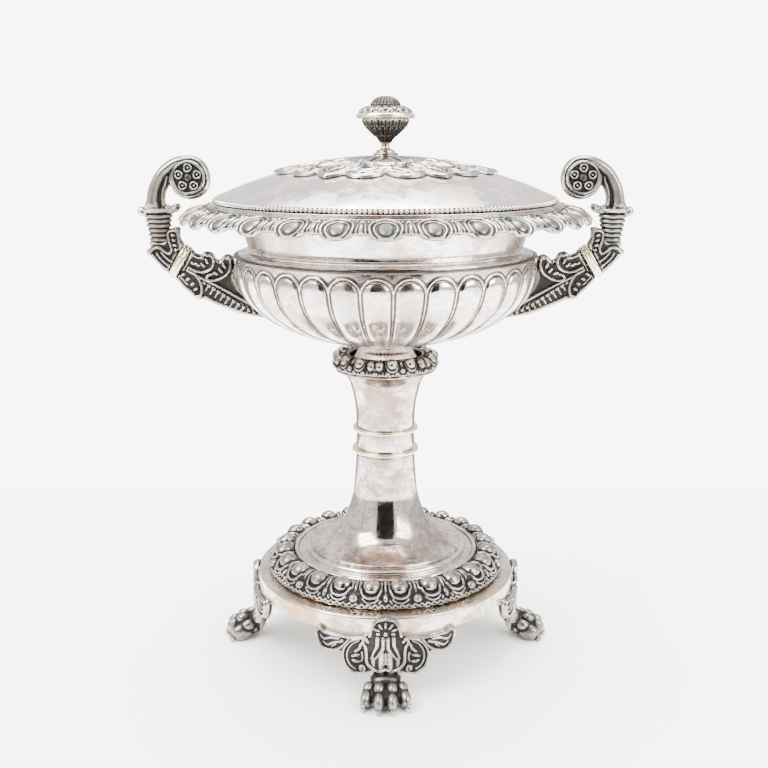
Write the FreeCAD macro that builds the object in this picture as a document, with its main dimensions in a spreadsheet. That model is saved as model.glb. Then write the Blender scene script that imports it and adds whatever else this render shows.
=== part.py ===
"""Covered silver sugar bowl on a round plinth with four paw feet.

Millimetres. The floor is Z = 0, the turning axis is Z, the handles lie along X.
Every size is a cell of the sheet "Sizes", and every feature is bound to those cells.
"""
import FreeCAD, Part
import math
import os

import Sketcher

LEFT = 1      # an arc that turns left along the outline
RIGHT = -1    # an arc that turns right along the outline
AXIS = "axis"     # a point on the turning axis
FLOOR = "floor"   # a point on the floor

# Sizes that several pieces share.
SIZES = {
    "silver_gauge": 1.2,
    "solder_gap": 0.05,
    "full_turn": 360,
    "feet": 4,
    "handles": 2,
    # plinth and stem levels
    "plinth_radius": 64.5,
    "plinth_underside": 31.3,
    "plinth_top": 39.6,
    "plinth_shoulder": 1.4,
    "deck_height": 47.8,
    "trumpet_floor": 51.6,
    "lower_ring_floor": 99.7,
    "upper_ring_floor": 110.5,
    "ring_thickness": 2.0,
    "capital_floor": 141.9,
    "collar_floor": 144.6,
    "bowl_floor": 154.8,
    # bowl levels
    "bowl_edge": 197.0,
    "neck_floor": 198.0,
    "flange_inner": 72.0,
    "flange_radius": 82.0,
    "flange_underside": 219.9,
    "flange_top": 221.2,
    "seat_height": 222.1,
    # lid levels
    "lid_underside": 222.15,
    "dome_floor": 224.45,
    "dome_radius": 190.6,
    "bezel_foot": 216.0,
    "mount_gauge": 1.2,
    "finial_floor": 243.3,
    "cup_floor": 248.6,
    "finial_ring_floor": 260.0,
    "finial_ring_top": 262.3,
    "finial_top": 270.0,
    # fasteners
    "tie_rod_radius": 2.5,
    "tie_rod_foot": 38.0,
    "bridge_thickness": 1.6,
    "tie_nut_circle": 4.9,
    "tie_nut_height": 4.0,
    "stud_radius": 1.3,
    "stud_foot": 236.0,
    "stud_top": 264.0,
    "washer_radius": 5.0,
    "washer_thickness": 0.8,
    "washer_top": 240.7,
    "lid_nut_circle": 3.4,
    "lid_nut_height": 2.2,
    "foot_stud_radius": 1.5,
    "foot_stud_distance": 60.4,
    "foot_stud_length": 5.5,
    "foot_nut_circle": 2.7,
    "foot_nut_height": 2.3,
    "bore_clearance": 0.05,
    # borders
    "bead_ring_radius": 45.2,
    "bead_ring_section": 1.0,
    "bead_ring_height": 48.85,
    "plinth_leaves": 24,
    "rim_leaves": 30,
    "capital_leaves": 12,
    "mount_lobes": 6,
    "rosette_petals": 5,
    "petal_radius": 1.9,
    "petal_distance": 4.6,
    "petal_height": 1.5,
    # feet
    "paw_width": 23.0,
    "leg_width": 15.3,
    "toe_groove_floor": 3.2,
    "bracket_inner": 64.55,
    "bracket_outer": 67.2,
    "bracket_reach": 72.0,
    # handles
    "bracket_width": 10.0,
    "elbow_width": 9.0,
    "horn_width": 8.6,
    "stem_axis": 108.3,
    "collar_thickness": 4.0,
    "collar_tilt": 59.4,
    "collar_centre_across": 98.0,
    "collar_centre_up": 193.5,
    "collar_straight": 4.3,
    "collar_half_width": 6.2,
    "collar_bow": 6.6,
    "horn_floor": 218.9,
    "scroll_centre_across": 92.0,
    "scroll_centre_up": 233.2,
    "handle_pin_radius": 1.5,
    "arm_pin_length": 14.0,
    "horn_pin_foot": 212.0,
    "horn_pin_length": 16.0,
    "rivet_radius": 0.9,
    "rosette_thickness": 1.6,
}

# Closed outlines. A point is (name, across, up) or (name, across, up, arc radius, turn), where
# the arc is the edge that leaves the point. A number becomes a cell named outline_name_across,
# _up or _arc; words are shared sizes, added and subtracted.
OUTLINES = {
    # spun drum with an in-turned flange at its foot and a raised deck on top
    "plinth_shell": [
        ("flange", 57.0, "plinth_underside"),
        ("foot", "plinth_radius", "plinth_underside"),
        ("wall", "plinth_radius", "plinth_top - plinth_shoulder", "plinth_shoulder", LEFT),
        ("shoulder", "plinth_radius - plinth_shoulder", "plinth_top"),
        ("slope_foot", 58.2, "plinth_top"),
        ("slope_top", 46.5, 46.6),
        ("deck_edge", 45.9, "deck_height"),
        ("deck_hole", 30.0, "deck_height"),
        ("hole_under", 30.0, "deck_height - silver_gauge"),
        ("deck_under", 44.9, "deck_height - silver_gauge"),
        ("slope_under", 45.7, 45.5),
        ("slope_root", 57.8, "plinth_top - silver_gauge"),
        ("shoulder_under", "plinth_radius - plinth_shoulder", "plinth_top - silver_gauge"),
        ("wall_inside", "plinth_radius - silver_gauge", "plinth_top - plinth_shoulder"),
        ("foot_inside", "plinth_radius - silver_gauge", "plinth_underside + silver_gauge"),
        ("flange_inside", 57.0, "plinth_underside + silver_gauge"),
    ],
    # leaf border that lies on the slope between drum and deck
    "plinth_leaf_border": [
        ("foot", 58.6, "plinth_top + solder_gap"),
        ("edge", 59.2, 40.9, 12.0, LEFT),
        ("crown", 54.0, 46.2, 12.0, LEFT),
        ("inner", 47.0, 48.6),
        ("inner_foot", 46.5, 46.75),
        ("root", 58.2, "plinth_top + solder_gap"),
    ],
    "plinth_moulding": [
        ("inner_foot", 31.0, "deck_height"),
        ("foot", 43.9, "deck_height"),
        ("step", 43.9, 48.6),
        ("groove", 41.2, 49.0),
        ("roll", 40.3, 49.3, 1.4, LEFT),
        ("roll_top", 38.9, "trumpet_floor"),
        ("inner_top", 31.0, "trumpet_floor"),
    ],
    # lower stem: a trumpet spun from sheet
    "stem_trumpet": [
        ("inner_foot", 35.6, "trumpet_floor"),
        ("foot", 38.3, "trumpet_floor"),
        ("edge", 38.3, 52.6),
        ("lip", 37.9, 53.2, 19.6, RIGHT),
        ("sweep", 21.0, 63.8, 54.8, RIGHT),
        ("waist", 16.0, 78.0, 320.0, RIGHT),
        ("top", 14.45, "lower_ring_floor"),
        ("top_inside", 13.0, "lower_ring_floor"),
        ("waist_inside", 14.6, 78.0, 56.0, LEFT),
        ("sweep_inside", 19.8, 63.1, 20.8, LEFT),
        ("lip_inside", 35.6, 52.2),
    ],
    "stem_ring_lower": [
        ("inner_foot", 12.6, "lower_ring_floor"),
        ("foot", 15.9, "lower_ring_floor", 1.15, LEFT),
        ("top", 15.9, "lower_ring_floor + ring_thickness"),
        ("inner_top", 12.6, "lower_ring_floor + ring_thickness"),
    ],
    "stem_sleeve": [
        ("inner_foot", 13.0, "lower_ring_floor + ring_thickness"),
        ("foot", 14.4, "lower_ring_floor + ring_thickness"),
        ("top", 14.3, "upper_ring_floor"),
        ("inner_top", 13.0, "upper_ring_floor"),
    ],
    "stem_ring_upper": [
        ("inner_foot", 12.6, "upper_ring_floor"),
        ("foot", 15.5, "upper_ring_floor", 1.15, LEFT),
        ("top", 15.5, "upper_ring_floor + ring_thickness"),
        ("inner_top", 12.6, "upper_ring_floor + ring_thickness"),
    ],
    # upper stem: flares to the plate that carries the capital
    "stem_upper": [
        ("inner_foot", 13.0, "upper_ring_floor + ring_thickness"),
        ("foot", 14.3, "upper_ring_floor + ring_thickness"),
        ("shaft", 14.55, 119.9, 60.0, RIGHT),
        ("flare", 17.1, 133.5, 9.5, RIGHT),
        ("edge_under", 24.6, 141.0),
        ("edge", 24.6, "capital_floor"),
        ("plate", 17.6, "collar_floor"),
        ("plate_hole", 9.0, "collar_floor"),
        ("hole_under", 9.0, "collar_floor - silver_gauge"),
        ("plate_under", 16.4, "collar_floor - silver_gauge"),
        ("flare_inside", 15.7, 133.5),
        ("shaft_inside", 13.2, 119.9),
    ],
    "capital_border": [
        ("root", 24.6, "capital_floor + solder_gap"),
        ("edge", 25.4, 143.0, 4.6, LEFT),
        ("crown", 22.2, 147.3, 4.6, LEFT),
        ("inner", 17.9, 149.0),
        ("inner_foot", 17.7, "collar_floor + solder_gap"),
    ],
    "bowl_foot_collar": [
        ("inner_foot", 9.0, "collar_floor"),
        ("foot", 15.4, "collar_floor"),
        ("step", 15.4, 147.9),
        ("bead", 14.65, 148.4),
        ("cove", 13.5, 150.2, 6.0, RIGHT),
        ("neck", 11.7, 153.2),
        ("top", 11.7, "bowl_floor"),
        ("inner_top", 9.0, "bowl_floor"),
    ],
    # raised and lobed bowl
    "bowl_body": [
        ("pole", AXIS, "bowl_floor"),
        ("foot", 11.8, "bowl_floor", 114.0, LEFT),
        ("belly", 45.0, 162.45, 57.4, LEFT),
        ("flank", 64.0, 174.54, 24.0, LEFT),
        ("shoulder", 71.6, 191.0),
        ("edge", 71.6, "bowl_edge"),
        ("edge_inside", 70.0, "bowl_edge"),
        ("shoulder_inside", 70.0, 191.0, 22.4, RIGHT),
        ("flank_inside", 62.7, 175.5, 55.8, RIGHT),
        ("belly_inside", 44.3, 164.0, 112.4, RIGHT),
        ("floor_edge", 11.6, 156.4),
        ("floor_pole", AXIS, 156.4),
    ],
    "bowl_ledge": [
        ("inner_foot", 66.0, "bowl_edge"),
        ("foot", 71.9, "bowl_edge", 0.6, LEFT),
        ("top", 71.9, "neck_floor"),
        ("inner_top", 66.0, "neck_floor"),
    ],
    # waisted neck that turns out to meet the rim plate
    "bowl_neck": [
        ("inner_foot", 63.6, "neck_floor"),
        ("foot", 69.9, "neck_floor"),
        ("foot_top", 69.7, 198.9),
        ("fillet", 66.4, 199.2, 1.9, RIGHT),
        ("waist", 64.9, 201.0),
        ("cove", 70.0, 218.0, 2.4, RIGHT),
        ("flange_root", "flange_inner", "flange_underside"),
        ("flange_joint", "flange_inner", "flange_top"),
        ("mouth", 71.4, "flange_top", 3.4, LEFT),
        ("cove_inside", 68.7, 218.7),
        ("waist_inside", 63.7, 201.2),
    ],
    # flat ring soldered round the mouth
    "rim_plate": [
        ("inner_foot", "flange_inner", "flange_underside"),
        ("foot", "flange_radius", "flange_underside"),
        ("top", "flange_radius", "flange_top"),
        ("inner_top", "flange_inner", "flange_top"),
    ],
    "rim_seat_ring": [
        ("inner_foot", 78.6, "flange_top"),
        ("foot", "flange_radius", "flange_top"),
        ("top", "flange_radius", "seat_height"),
        ("inner_top", 78.6, "seat_height"),
    ],
    # convex border with hanging leaf tips
    "rim_border": [
        ("inner_foot", 82.1, 218.6),
        ("under", 87.3, 217.6, 12.5, RIGHT),
        ("tip_under", 95.4, 212.9),
        ("tip", 96.6, 213.6, 14.0, LEFT),
        ("crest", 87.5, 219.4),
        ("inner_top", 82.1, 220.8),
    ],
    "lid_bead_rim": [
        ("inner_foot", 77.4, "lid_underside"),
        ("foot", 79.9, "lid_underside", 1.16, LEFT),
        ("top", 79.9, "dome_floor"),
        ("inner_top", 77.4, "dome_floor"),
    ],
    "lid_dome": [
        ("edge_inside", 76.96, "dome_floor"),
        ("edge", 79.88, "dome_floor", "dome_radius", LEFT),
        ("hole_top", "stud_radius + bore_clearance", 241.995),
        ("hole_under", "stud_radius + bore_clearance", 240.795, "dome_radius - silver_gauge", RIGHT),
    ],
    "lid_bezel": [
        ("foot_inside", 66.2, "bezel_foot"),
        ("foot", 67.4, "bezel_foot"),
        ("top", 67.4, 228.2),
        ("top_inside", 66.2, 228.2),
    ],
    # pierced casting that follows the dome
    "lid_mount": [
        ("edge_foot", 52.6, 234.65),
        ("edge", 52.6, 235.9, "dome_radius + mount_gauge", LEFT),
        ("hole_top", "stud_radius + bore_clearance", 243.245),
        ("hole_foot", "stud_radius + bore_clearance", 242.045, "dome_radius + solder_gap", RIGHT),
    ],
    "finial_base": [
        ("bore_foot", "stud_radius + bore_clearance", "finial_floor"),
        ("foot", 5.6, "finial_floor", 0.65, LEFT),
        ("disc_top", 5.2, 244.5),
        ("step", 4.2, 244.5),
        ("step_top", 3.9, 245.6),
        ("neck_foot", 2.1, 246.2),
        ("neck", 1.9, "cup_floor"),
        ("bore_top", "stud_radius + bore_clearance", "cup_floor"),
    ],
    "finial_cup": [
        ("bore_foot", "stud_radius + bore_clearance", "cup_floor"),
        ("foot", 2.1, "cup_floor", 6.0, RIGHT),
        ("calyx", 3.6, 251.2),
        ("belly", 8.4, 255.6, 9.0, LEFT),
        ("lip", 11.0, "finial_ring_floor"),
        ("bore_top", "stud_radius + bore_clearance", "finial_ring_floor"),
    ],
    "finial_ring": [
        ("bore_foot", "stud_radius + bore_clearance", "finial_ring_floor"),
        ("foot", 12.9, "finial_ring_floor", 1.2, LEFT),
        ("top", 12.9, "finial_ring_top"),
        ("bore_top", "stud_radius + bore_clearance", "finial_ring_top"),
    ],
    "finial_dome": [
        ("bore_foot", "stud_radius + bore_clearance", "finial_ring_top"),
        ("foot", 12.4, "finial_ring_top", 5.5, LEFT),
        ("cove", 7.4, 265.4),
        ("button", 7.2, 265.9, 7.0, LEFT),
        ("button_top", 0.95, "finial_top"),
        ("pole", AXIS, "finial_top"),
        ("bore_end_pole", AXIS, "stud_top + bore_clearance"),
        ("bore_end", "stud_radius + bore_clearance", "stud_top + bore_clearance"),
    ],
    "tie_bridge": [
        ("bore_foot", "tie_rod_radius + bore_clearance", "deck_height - silver_gauge - bridge_thickness"),
        ("foot", 34.0, "deck_height - silver_gauge - bridge_thickness"),
        ("top", 34.0, "deck_height - silver_gauge"),
        ("bore_top", "tie_rod_radius + bore_clearance", "deck_height - silver_gauge"),
    ],
    # the foot, seen from the side: leg with its top pad, then the paw
    "foot_leg": [
        ("pad_back", 57.6, "plinth_underside"),
        ("pad_under", 57.6, 29.6),
        ("back", 60.4, 27.0),
        ("calf", 60.4, 13.0),
        ("heel", 62.0, 6.6),
        ("sole", 65.8, 4.4),
        ("instep", 67.5, 8.8),
        ("shin", 64.0, 11.4),
        ("pad_front", 64.0, "plinth_underside"),
    ],
    "foot_paw": [
        ("heel", 65.0, 4.6),
        ("arch", 73.0, 2.2),
        ("pad", 77.0, FLOOR),
        ("toe", 82.6, FLOOR, 2.6, LEFT),
        ("claw", 83.9, 3.4),
        ("knuckle", 81.4, 6.8, 6.5, LEFT),
        ("back_of_paw", 75.4, 10.9, 7.5, LEFT),
        ("instep", 67.0, 9.4),
    ],
    # half of the openwork plate over each foot, seen from the front
    "foot_bracket": [
        ("lyre_foot", AXIS, 11.6),
        ("lyre_side", 6.0, 12.4),
        ("gap", 9.2, 15.6),
        ("volute", 12.6, 11.5),
        ("curl", 17.0, 14.4, 9.0, LEFT),
        ("leaf", 21.6, 21.6),
        ("wing_foot", 29.6, 24.4),
        ("wing_tip", 32.4, 32.6, 3.0, LEFT),
        ("wing_top", 27.6, 32.4, 6.0, RIGHT),
        ("dip", 20.6, 30.8, 8.0, LEFT),
        ("scroll", 8.6, 31.6),
        ("arch_side", 7.6, 33.4, 7.7, LEFT),
        ("arch_top", AXIS, 40.4),
    ],
    "bracket_core": [
        ("foot_pole", AXIS, FLOOR),
        ("foot", "bracket_inner", FLOOR),
        ("top", "bracket_inner", "deck_height"),
        ("top_pole", AXIS, "deck_height"),
    ],
    "bracket_outside": [
        ("foot", "bracket_outer", FLOOR),
        ("foot_edge", 85.0, FLOOR),
        ("top_edge", 85.0, "deck_height"),
        ("top", "bracket_outer", "deck_height"),
    ],
    # grooves between the toes, in plan
    "toe_groove_left": [
        ("inner_low", 73.5, 5.2),
        ("outer_low", 86.0, 4.7),
        ("outer_high", 86.0, 6.7),
        ("inner_high", 73.5, 6.2),
    ],
    "toe_groove_middle": [
        ("inner_low", 73.5, -0.5),
        ("outer_low", 86.0, -1.0),
        ("outer_high", 86.0, 1.0),
        ("inner_high", 73.5, 0.5),
    ],
    "toe_groove_right": [
        ("inner_low", 73.5, -6.2),
        ("outer_low", 86.0, -6.7),
        ("outer_high", 86.0, -4.7),
        ("inner_high", 73.5, -5.2),
    ],
    # leaf bracket of a handle: spear leaf below, shell leaf at the bowl's shoulder
    "handle_bracket": [
        ("tip", 51.0, 164.2),
        ("leaf", 70.9, 168.4),
        ("swell", 82.5, 173.2),
        ("curl_foot", 87.4, 175.4),
        ("curl", 91.0, 178.4),
        ("arm", 93.6, 178.6),
        ("end_foot", 100.31, 185.6),
        ("end_top", 92.19, 199.35),
        ("back", 90.8, 196.6),
        ("curl_top", 85.2, 197.0),
        ("dip", 81.7, 193.7),
        ("shell_top", 76.6, 196.4),
        ("shoulder_top", 72.2, 195.2),
        ("shoulder", 72.0, 191.0, 24.4, RIGHT),
        ("flank", 64.4, 174.3, 57.8, RIGHT),
        ("root", 52.2, 165.2),
    ],
    # oval band, seen along the arm
    "handle_collar": [
        ("low_back", "- collar_straight", "- collar_half_width"),
        ("low_front", "collar_straight", "- collar_half_width", "collar_bow", LEFT),
        ("high_front", "collar_straight", "collar_half_width"),
        ("high_back", "- collar_straight", "collar_half_width", "collar_bow", LEFT),
    ],
    "handle_elbow": [
        ("end_foot", 103.81, 187.64),
        ("swell", 109.4, 193.6),
        ("curl", 112.4, 197.6),
        ("throat_outer", 111.6, 203.4),
        ("throat_inner", 105.0, 203.4),
        ("leaf_back", 102.6, 208.4),
        ("leaf_tip", 98.2, 208.8),
        ("leaf_root", 97.4, 204.8),
        ("end_top", 95.67, 201.4),
    ],
    # horn that curls over to the scroll's eye
    "handle_horn": [
        ("inner_foot", 103.7, "horn_floor"),
        ("outer_foot", 113.3, "horn_floor", 37.0, LEFT),
        ("outer", 105.6, 238.0, 15.3, LEFT),
        ("crown", 93.6, 243.2, 10.0, LEFT),
        ("eye_back", 82.4, 232.6, 9.7, LEFT),
        ("eye_foot", 92.0, 223.3, 9.6, LEFT),
        ("throat", 101.0, 229.0),
        ("inner", 103.7, 224.6),
    ],
    "rosette": [
        ("back_pole", "rivet_radius + bore_clearance", FLOOR),
        ("back", 8.2, FLOOR),
        ("edge", 8.2, 0.8),
        ("field", 6.9, 0.9),
        ("boss_foot", 2.4, 0.9),
        ("boss", 1.9, "rosette_thickness"),
        ("front_pole", "rivet_radius + bore_clearance", "rosette_thickness"),
    ],
    # notches that scallop the borders, in plan
    "rim_notch": [
        ("root", 94.6, FLOOR),
        ("side", 97.5, 1.9),
        ("mouth", 98.5, FLOOR),
        ("other_side", 97.5, -1.9),
    ],
    "plinth_notch": [
        ("root", 57.4, FLOOR),
        ("side", 59.6, 1.5),
        ("mouth", 60.6, FLOOR),
        ("other_side", 59.6, -1.5),
    ],
    "capital_notch": [
        ("root", 23.6, FLOOR),
        ("side", 25.6, 1.6),
        ("mouth", 26.6, FLOOR),
        ("other_side", 25.6, -1.6),
    ],
    # lid mount in plan, one sixth: notches between the lobes and the pierced drops
    "mount_notch_upper": [
        ("root", 47.4, 15.6),
        ("wide", 51.5, 13.6),
        ("mouth", 54.0, 17.4),
        ("tight", 49.6, 17.9),
    ],
    "mount_notch_lower": [
        ("root", 47.4, -15.6),
        ("tight", 49.6, -17.9),
        ("mouth", 54.0, -17.4),
        ("wide", 51.5, -13.6),
    ],
    "mount_notch_middle": [
        ("root", 48.6, FLOOR),
        ("side", 53.0, -2.4),
        ("mouth", 54.0, FLOOR),
        ("other_side", 53.0, 2.4),
    ],
    "mount_drop_upper": [
        ("tail", 45.6, 1.4),
        ("outer", 47.0, 9.8),
        ("end", 45.6, 11.4),
        ("inner", 43.0, 9.6),
    ],
    "mount_drop_lower": [
        ("tail", 45.6, -1.4),
        ("inner", 43.0, -9.6),
        ("end", 45.6, -11.4),
        ("outer", 47.0, -9.8),
    ],
    "mount_point_drop": [
        ("tail", 31.2, 18.0),
        ("low", 36.5, 18.8),
        ("nose", 39.8, 23.0),
        ("high", 34.5, 22.2),
    ],
    "mount_eye": [
        ("back", 38.4, FLOOR),
        ("low", 39.6, -1.5),
        ("front", 41.2, FLOOR),
        ("high", 39.6, 1.5),
    ],
}


def ribbed_outline(ribs=6, floor=203.0, pitch=2.2, radius=3.4, growth=0.42, bulge=1.3):
    """Outline of the ribbed stem: rings that grow upwards, then the calyx under the horn."""
    points = [("foot_pole", AXIS, 201.0), ("foot", 3.2, 201.0)]
    for rib in range(ribs):
        points.append((f"rib{rib}x", radius + growth * rib, floor + pitch * rib, bulge, LEFT))
    top = floor + pitch * ribs
    points.append(("calyx_foot", radius + growth * ribs, top))
    points.append(("calyx_side", 8.3, 217.6))
    points.append(("calyx_lip", 8.3, "horn_floor"))
    points.append(("calyx_pole", AXIS, "horn_floor"))
    return points


OUTLINES["handle_ribs"] = ribbed_outline()

document = FreeCAD.newDocument("CoveredSugarBowl")
pieces = []


# ---------------------------------------------------------------- the sheet

def cell_name(outline, point, what):
    """Alias of the cell that holds one number of an outline."""
    return f"{outline}_{point}_{what}"


def outline_cells():
    """Every number in the outlines, as alias and value."""
    cells = {}
    for outline, points in OUTLINES.items():
        for point in points:
            numbers = {"across": point[1], "up": point[2]}
            if len(point) > 3:
                numbers["arc"] = point[3]
            for what, number in numbers.items():
                if not isinstance(number, str):
                    cells[cell_name(outline, point[0], what)] = number
    return cells


CELLS = {**SIZES, **outline_cells()}


def make_sheet():
    """Writes every size into the document's spreadsheet."""
    sheet = document.addObject("Spreadsheet::Sheet", "Sizes")
    for row, (alias, number) in enumerate(CELLS.items(), start=1):
        sheet.set(f"A{row}", alias)
        sheet.set(f"B{row}", str(number))
        sheet.setAlias(f"B{row}", alias)
    document.recompute()


def words(size, outline="", point="", what=""):
    """A size as a list of words: the name of its own cell, or its sum of shared sizes."""
    if isinstance(size, str):
        return size.split()
    return [cell_name(outline, point, what)]


def number(terms):
    """Value of a sum such as ["plinth_top", "-", "silver_gauge"]."""
    total = 0.0
    sign = 1
    for term in terms:
        if term == "-":
            sign = -1
        elif term == "+":
            sign = 1
        else:
            total += sign * CELLS[term]
    return total


def formula(terms):
    """The same sum as an expression on the sheet."""
    return " ".join(term if term in "+-" else f"Sizes.{term}" for term in terms)


def bind(thing, path, size):
    """Binds one property to a sum of sheet cells."""
    thing.setExpression(path, formula(size.split()))


# ---------------------------------------------------------------- sketches

def new_sketch(body, name, plane):
    """An empty sketch on one of the body's own origin planes."""
    sketch = body.newObject("Sketcher::SketchObject", name)
    support = [item for item in body.Origin.OriginFeatures if item.Role == plane][0]
    sketch.AttachmentSupport = [(support, "")]
    sketch.MapMode = "FlatFace"
    return sketch


def arc_between(start, end, radius, turn):
    """The short arc from start to end, as Sketcher's anticlockwise arc."""
    chord = end - start
    middle = (start + end) * 0.5
    rise = math.sqrt(max(radius * radius - chord.Length ** 2 / 4, 0.0))
    normal = FreeCAD.Vector(-chord.y, chord.x, 0).normalize()
    centre = middle + normal * (rise * turn)
    first, last = (start, end) if turn == LEFT else (end, start)
    angle_from = math.atan2(first.y - centre.y, first.x - centre.x)
    angle_to = math.atan2(last.y - centre.y, last.x - centre.x)
    if angle_to < angle_from:
        angle_to += 2 * math.pi
    circle = Part.Circle(centre, FreeCAD.Vector(0, 0, 1), radius)
    return Part.ArcOfCircle(circle, angle_from, angle_to)


def fix_point(sketch, edge, end, outline, point):
    """Holds one corner of an outline at its cells, on the axis or on the floor."""
    sides = (("across", point[1], "DistanceX", AXIS, -2), ("up", point[2], "DistanceY", FLOOR, -1))
    for what, size, kind, on_line, line in sides:
        if size == on_line:
            sketch.addConstraint(Sketcher.Constraint("PointOnObject", edge, end, line))
            continue
        terms = words(size, outline, point[0], what)
        rule = Sketcher.Constraint(kind, -1, 1, edge, end, number(terms))
        index = sketch.addConstraint(rule)
        sketch.setExpression(f"Constraints[{index}]", formula(terms))


def corner(outline, point):
    """A corner's place in the sketch."""
    across = 0.0 if point[1] == AXIS else number(words(point[1], outline, point[0], "across"))
    up = 0.0 if point[2] == FLOOR else number(words(point[2], outline, point[0], "up"))
    return FreeCAD.Vector(across, up, 0)


def draw_outline(sketch, outline):
    """Draws a closed outline of lines and arcs, fully bound to the sheet."""
    points = OUTLINES[outline]
    corners = [corner(outline, point) for point in points]
    edges = []
    for index, point in enumerate(points):
        start = corners[index]
        end = corners[(index + 1) % len(points)]
        if len(point) > 3:
            terms = words(point[3], outline, point[0], "arc")
            edge = sketch.addGeometry(arc_between(start, end, number(terms), point[4]), False)
            ends = (1, 2) if point[4] == LEFT else (2, 1)
            rule = sketch.addConstraint(Sketcher.Constraint("Radius", edge, number(terms)))
            sketch.setExpression(f"Constraints[{rule}]", formula(terms))
        else:
            edge = sketch.addGeometry(Part.LineSegment(start, end), False)
            ends = (1, 2)
        edges.append((edge, ends))
    for index, point in enumerate(points):
        edge, ends = edges[index]
        before, before_ends = edges[index - 1]
        sketch.addConstraint(Sketcher.Constraint("Coincident", before, before_ends[1], edge, ends[0]))
        fix_point(sketch, edge, ends[0], outline, point)


def draw_circle(sketch, across, radius):
    """A circle whose centre is on the sketch's first axis."""
    centre = FreeCAD.Vector(SIZES[across], 0, 0)
    circle = Part.Circle(centre, FreeCAD.Vector(0, 0, 1), SIZES[radius])
    edge = sketch.addGeometry(circle, False)
    sketch.addConstraint(Sketcher.Constraint("PointOnObject", edge, 3, -1))
    place = sketch.addConstraint(Sketcher.Constraint("DistanceX", -1, 1, edge, 3, SIZES[across]))
    sketch.setExpression(f"Constraints[{place}]", formula([across]))
    size = sketch.addConstraint(Sketcher.Constraint("Radius", edge, SIZES[radius]))
    sketch.setExpression(f"Constraints[{size}]", formula([radius]))


# ---------------------------------------------------------------- features

def new_body(label):
    """A body that is one named piece, or one part of a piece."""
    return document.addObject("PartDesign::Body", label)


def add_turn(body, outline, kind="PartDesign::Revolution"):
    """Turns an outline round the Z axis, adding to the body or cutting from it."""
    sketch = new_sketch(body, f"{body.Name}_{outline}_profile", "XZ_Plane")
    draw_outline(sketch, outline)
    turn = body.newObject(kind, f"{body.Name}_{outline}_turn")
    turn.Profile = sketch
    turn.ReferenceAxis = (sketch, ["V_Axis"])
    bind(turn, "Angle", "full_turn")
    return turn


def add_plate(body, outline, width):
    """Pads an outline in the XZ plane, half its width to each side."""
    sketch = new_sketch(body, f"{body.Name}_{outline}_profile", "XZ_Plane")
    draw_outline(sketch, outline)
    pad = body.newObject("PartDesign::Pad", f"{body.Name}_{outline}_pad")
    pad.Profile = sketch
    pad.SideType = "Symmetric"
    bind(pad, "Length", width)
    return pad


def cut_plan(body, outlines, floor=None):
    """Cuts outlines drawn in plan upwards through the body, from a floor level if one is given."""
    sketch = new_sketch(body, f"{body.Name}_{outlines[0]}_plan", "XY_Plane")
    for outline in outlines:
        draw_outline(sketch, outline)
    if floor:
        bind(sketch, "AttachmentOffset.Base.z", floor)
    pocket = body.newObject("PartDesign::Pocket", f"{body.Name}_{outlines[0]}_cut")
    pocket.Profile = sketch
    pocket.Type = "ThroughAll"
    pocket.Reversed = True
    return pocket


def repeat_round(body, feature, count):
    """Repeats a feature round the Z axis."""
    pattern = body.newObject("PartDesign::PolarPattern", f"{feature.Name}_round")
    pattern.Originals = [feature]
    axis = [item for item in body.Origin.OriginFeatures if item.Role == "Z_Axis"][0]
    pattern.Axis = (axis, [""])
    bind(pattern, "Angle", "full_turn")
    bind(pattern, "Occurrences", count)
    body.Tip = pattern
    return pattern


def add_cylinder(body, name, radius, length, place, kind="PartDesign::SubtractiveCylinder"):
    """A bore through the body, or a stud on it."""
    cylinder = body.newObject(kind, f"{body.Name}_{name}")
    cylinder.Placement = place
    bind(cylinder, "Radius", radius)
    bind(cylinder, "Height", length)
    return cylinder


def placed(across, along, up, axis=(0, 0, 1), angle=0.0):
    """A placement from a point and one rotation."""
    rotation = FreeCAD.Rotation(FreeCAD.Vector(*axis), angle)
    return FreeCAD.Placement(FreeCAD.Vector(across, along, up), rotation)


def turned_about_z(index, count):
    """The place of one of several pieces spaced evenly round the Z axis."""
    return placed(0, 0, 0, angle=SIZES["full_turn"] * index / SIZES[count])


def keep(piece, label):
    """Files a finished piece under its node name."""
    piece.Label = label
    pieces.append(piece)
    return piece


def turned_piece(label):
    """A piece that is one turned outline of the same name."""
    body = new_body(label)
    add_turn(body, label)
    return keep(body, label)


def scalloped_piece(label, notch, count):
    """A turned border whose edge is notched into leaves."""
    body = new_body(label)
    add_turn(body, label)
    repeat_round(body, cut_plan(body, [notch]), count)
    return keep(body, label)


def rod(name, radius, length, place):
    """A plain round rod."""
    cylinder = document.addObject("Part::Cylinder", name)
    bind(cylinder, "Radius", radius)
    bind(cylinder, "Height", length)
    cylinder.Placement = place
    return cylinder


def hexagon_nut(name, circle, height, bore, place):
    """A hexagon nut with a clear bore."""
    blank = document.addObject("Part::Prism", f"{name}_blank")
    blank.Polygon = 6
    bind(blank, "Circumradius", circle)
    bind(blank, "Height", height)
    nut = document.addObject("Part::Cut", name)
    nut.Base = blank
    nut.Tool = rod(f"{name}_bore", f"{bore} + bore_clearance", height, placed(0, 0, 0))
    nut.Placement = place
    return nut


def flat_washer(name, radius, bore, thickness, place):
    """A flat washer."""
    washer = document.addObject("Part::Cut", name)
    washer.Base = rod(f"{name}_blank", radius, thickness, placed(0, 0, 0))
    washer.Tool = rod(f"{name}_bore", f"{bore} + bore_clearance", thickness, placed(0, 0, 0))
    washer.Placement = place
    return washer


def group(label, members):
    """Like fasteners that share one node as separate solids."""
    compound = document.addObject("Part::Compound", label)
    compound.Links = members
    return keep(compound, label)


# ---------------------------------------------------------------- plinth and feet

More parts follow.
